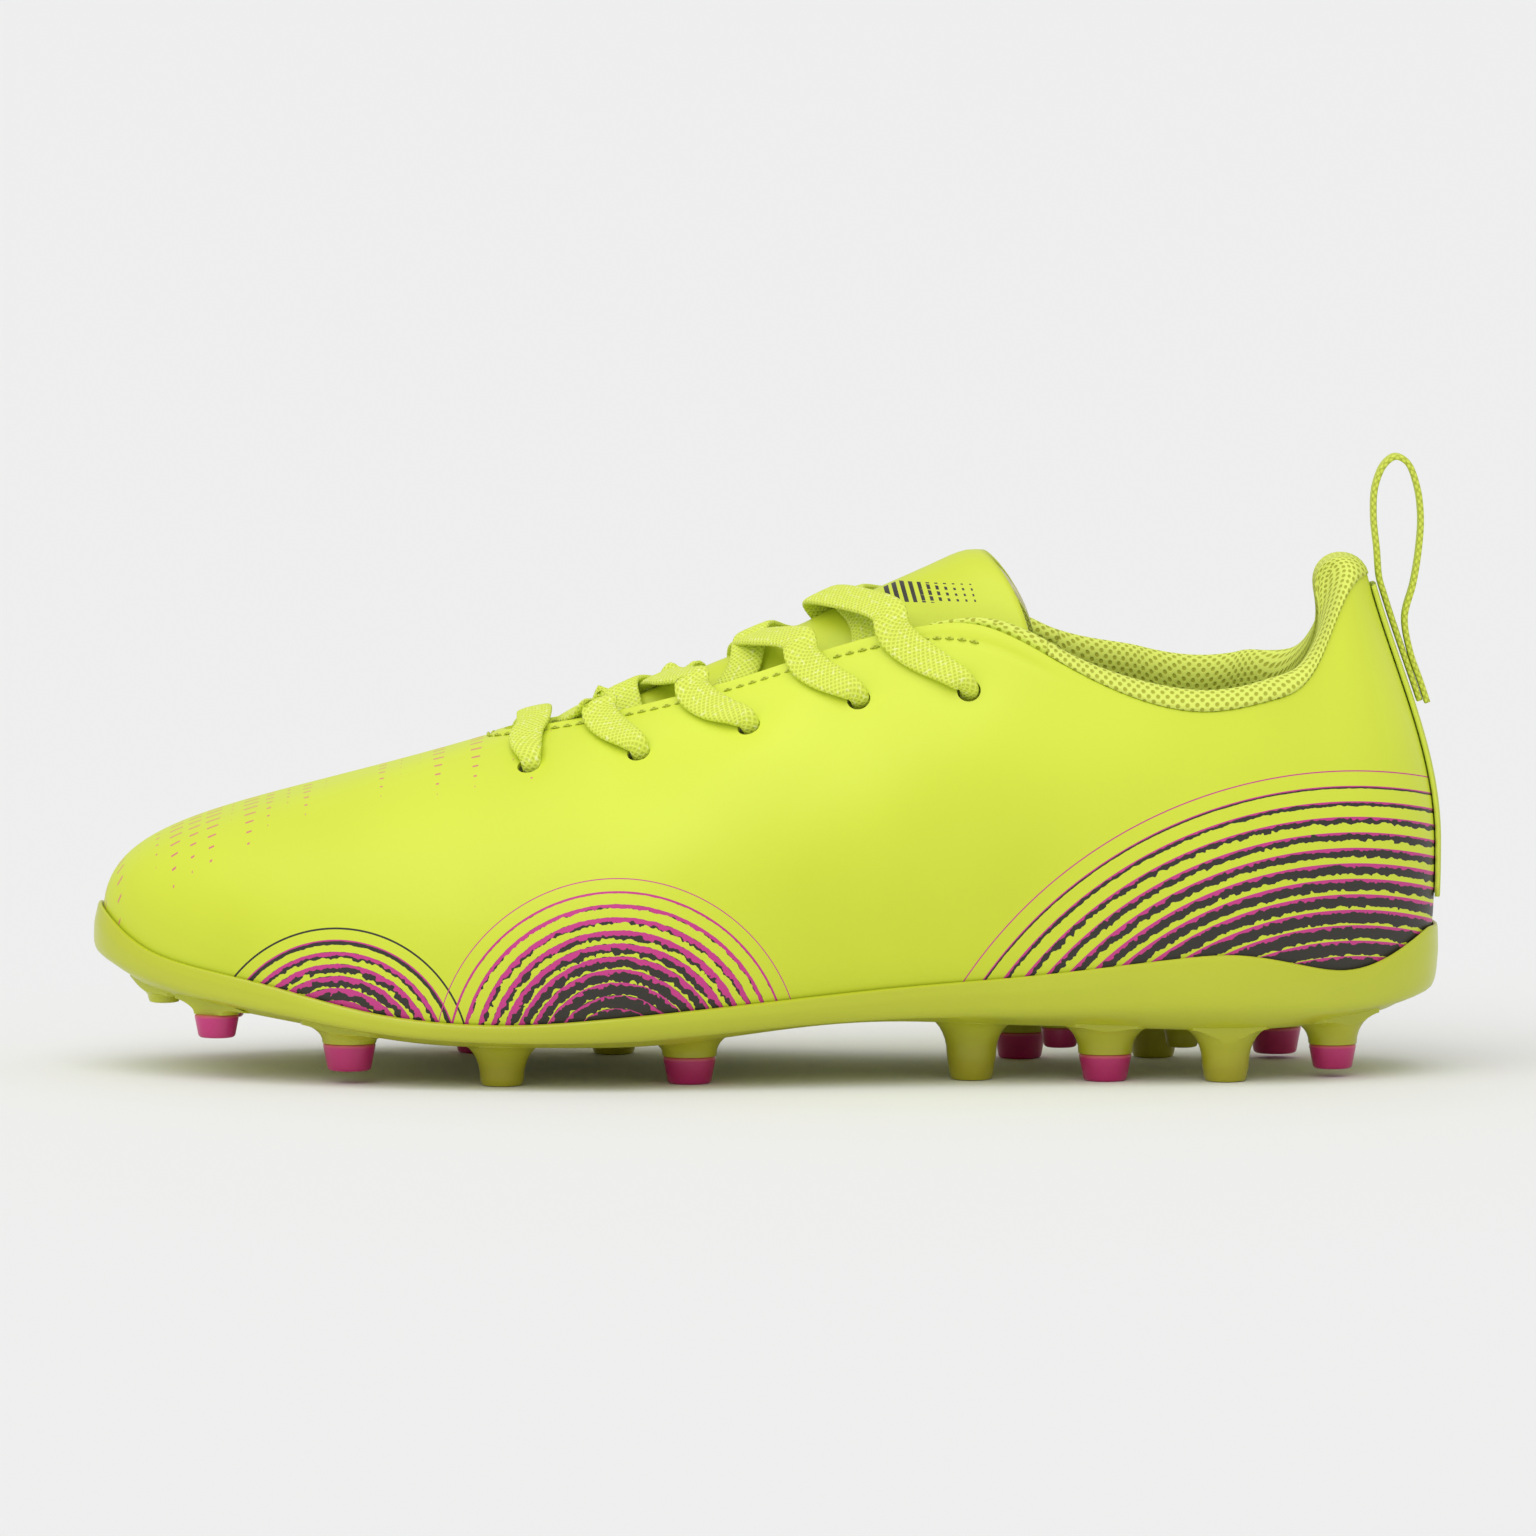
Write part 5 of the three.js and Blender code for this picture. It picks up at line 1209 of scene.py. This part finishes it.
def stud_root(x, y, tip, kind, scale):
    """A turned stud: a disc drawn up in steps, through the hollow flare that meets the plate."""
    root = float(plate_bottom(x))
    moulded = kind == "moulded"
    narrow, wide = STUD_TIP_RADIUS * scale, (STUD_TIP_RADIUS + STUD_ROOT_RADIUS) / 2 * scale
    start = tip + 0.8 if moulded else tip + STUD_TIP_HEIGHT * scale
    ground = [(narrow - 0.8, tip), (narrow - 0.25, tip + 0.15), (narrow, start)]
    rings = ground if moulded else [(wide, start)]
    foot = max(start + 0.3, root - FLARE_HIGH)
    stem = (narrow if moulded else wide) + 0.16 * (foot - start)
    rings.append((stem, foot))
    rings += [(stem + FLARE_WIDE * (1 - math.cos(turn)), foot + (root + 0.1 - foot) * math.sin(turn))
              for turn in np.radians([12, 24, 36, 48, 60, 72, 82, 90])]
    rings.append((stem + FLARE_WIDE, root + 1.2))
    deselect()
    bpy.ops.mesh.primitive_circle_add(vertices=48, radius=rings[0][0] * MM, fill_type="NGON",
                                      location=(x * MM, y * MM, rings[0][1] * MM))
    stud = place_mesh(bpy.context.object)
    bpy.ops.object.mode_set(mode="EDIT")
    bpy.ops.mesh.select_all(action="SELECT")
    for (r0, z0), (r1, z1) in zip(rings, rings[1:]):
        bpy.ops.mesh.extrude_region_move(TRANSFORM_OT_translate={"value": (0, 0, (z1 - z0) * MM)})
        bpy.ops.transform.resize(value=(r1 / r0, r1 / r0, 1), center_override=(x * MM, y * MM, z1 * MM))
    bpy.ops.object.mode_set(mode="OBJECT")
    points = read_points(stud)
    above = points[:, 2] > foot + 0.01
    slope = (plate_bottom(points[:, 0]) + 0.1 - foot) / (root + 0.1 - foot)
    points[above, 2] = foot + (points[above, 2] - foot) * np.maximum(slope[above], 0.05)
    stud.data.vertices.foreach_set("co", (points * MM).ravel())
    return face_outwards(stud)


roots = join("stud_roots", [stud_root(*stud) for stud in STUDS])
limit_rings = [bottom_ring(0.3, 0), bottom_ring(0.3, 0)]
limit_rings[0][:, 2], limit_rings[1][:, 2] = -2, 30
flare_limit = filled("flare_limit", limit_rings)
apply_modifier(roots, "BOOLEAN", operation="INTERSECT", object=flare_limit, solver="EXACT", use_self=True)
bpy.data.objects.remove(flare_limit)
apply_modifier(plate, "BOOLEAN", operation="UNION", object=roots, solver="EXACT", use_self=True)
bpy.data.objects.remove(roots)
plate.name = "studded_outsole"
choose(plate)
bpy.ops.object.shade_smooth_by_angle(angle=math.radians(35))


def moulded_tpu(name, base, deep, top=None):
    """Injection-moulded TPU: satin, with faint flow marks, and painted shade that deepens its colour near the
    ground.
    """
    material, surface = new_material(name, Roughness=0.33, Coat_Weight=0.15, Coat_Roughness=0.25)
    spot = add_node(material, "ShaderNodeTexCoord").outputs["Object"]
    axes = add_node(material, "ShaderNodeSeparateXYZ", {0: spot})
    flow = add_node(material, "ShaderNodeTexNoise", {"Vector": spot, "Scale": 45.0, "Detail": 3.0}).outputs[0]
    # Painted shade: the colour turns to the deep tone in the lowest 14 mm, on top of the flow marks.
    low = add_node(material, "ShaderNodeMapRange", {
        "Value": axes.outputs[2], "From Min": 0.001, "From Max": 0.014,
        "To Min": 1.0, "To Max": 0.0}).outputs[0]
    flow_and_painted_shade = add_node(material, "ShaderNodeMath", {0: flow, 1: 0.25, 2: low},
                      operation="MULTIPLY_ADD").outputs[0]
    colour = add_node(material, "ShaderNodeMix", {"Factor": flow_and_painted_shade, 6: linear(base), 7: linear(deep)},
                      data_type="RGBA").outputs[2]
    if top:
        height = add_node(material, "ShaderNodeAttribute", attribute_name="up_stud").outputs["Fac"]
        melt = add_node(material, "ShaderNodeMapRange", {
            "Value": height, "From Min": 0.84, "From Max": 1.0}).outputs[0]
        colour = add_node(material, "ShaderNodeMix", {"Factor": melt, 6: colour, 7: linear(top)},
                          data_type="RGBA").outputs[2]
    finish_surface(material, surface, colour, flow, 0.1, 0.0004)
    return material


plate.data.materials.append(moulded_tpu("tpu_yellow", "#c6cf2e", "#a39d14"))
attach(plate, "shoe")
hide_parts("outsole")

# Stud tips: pink TPU shot on to the ten sockets. Each is a tapered cylinder with a soft edge
# on its ground face, and its colour melts into the yellow at the joint.
TIP_EDGE = 0.55
tip_tpu = moulded_tpu("tpu_pink", "#d83c8c", "#b01460", "#cf6a5a")
tipped = [stud for stud in STUDS if stud[3] == "tipped"]
for number, (x, y, tip, kind, scale) in enumerate(tipped, 1):
    height = STUD_TIP_HEIGHT * scale
    wide = (STUD_TIP_RADIUS + STUD_ROOT_RADIUS) / 2 * scale
    deselect()
    bpy.ops.mesh.primitive_cone_add(vertices=48, radius1=STUD_TIP_RADIUS * scale * MM, radius2=wide * MM,
                                    depth=height * MM, location=(x * MM, y * MM, (tip + height / 2) * MM))
    piece = place_mesh(bpy.context.object)
    piece.name = f"tip_of_stud_{number:02d}"
    apply_modifier(piece, "BEVEL", width=TIP_EDGE * MM, segments=4, limit_method="ANGLE",
                   angle_limit=math.radians(50))
    bpy.ops.object.shade_smooth_by_angle(angle=math.radians(40))
    store(piece, "up_stud", (read_points(piece)[:, 2] - tip) / height)
    piece.data.materials.append(tip_tpu)
    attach(piece, "shoe")
    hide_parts(f"stud_tip_{number:02d}")
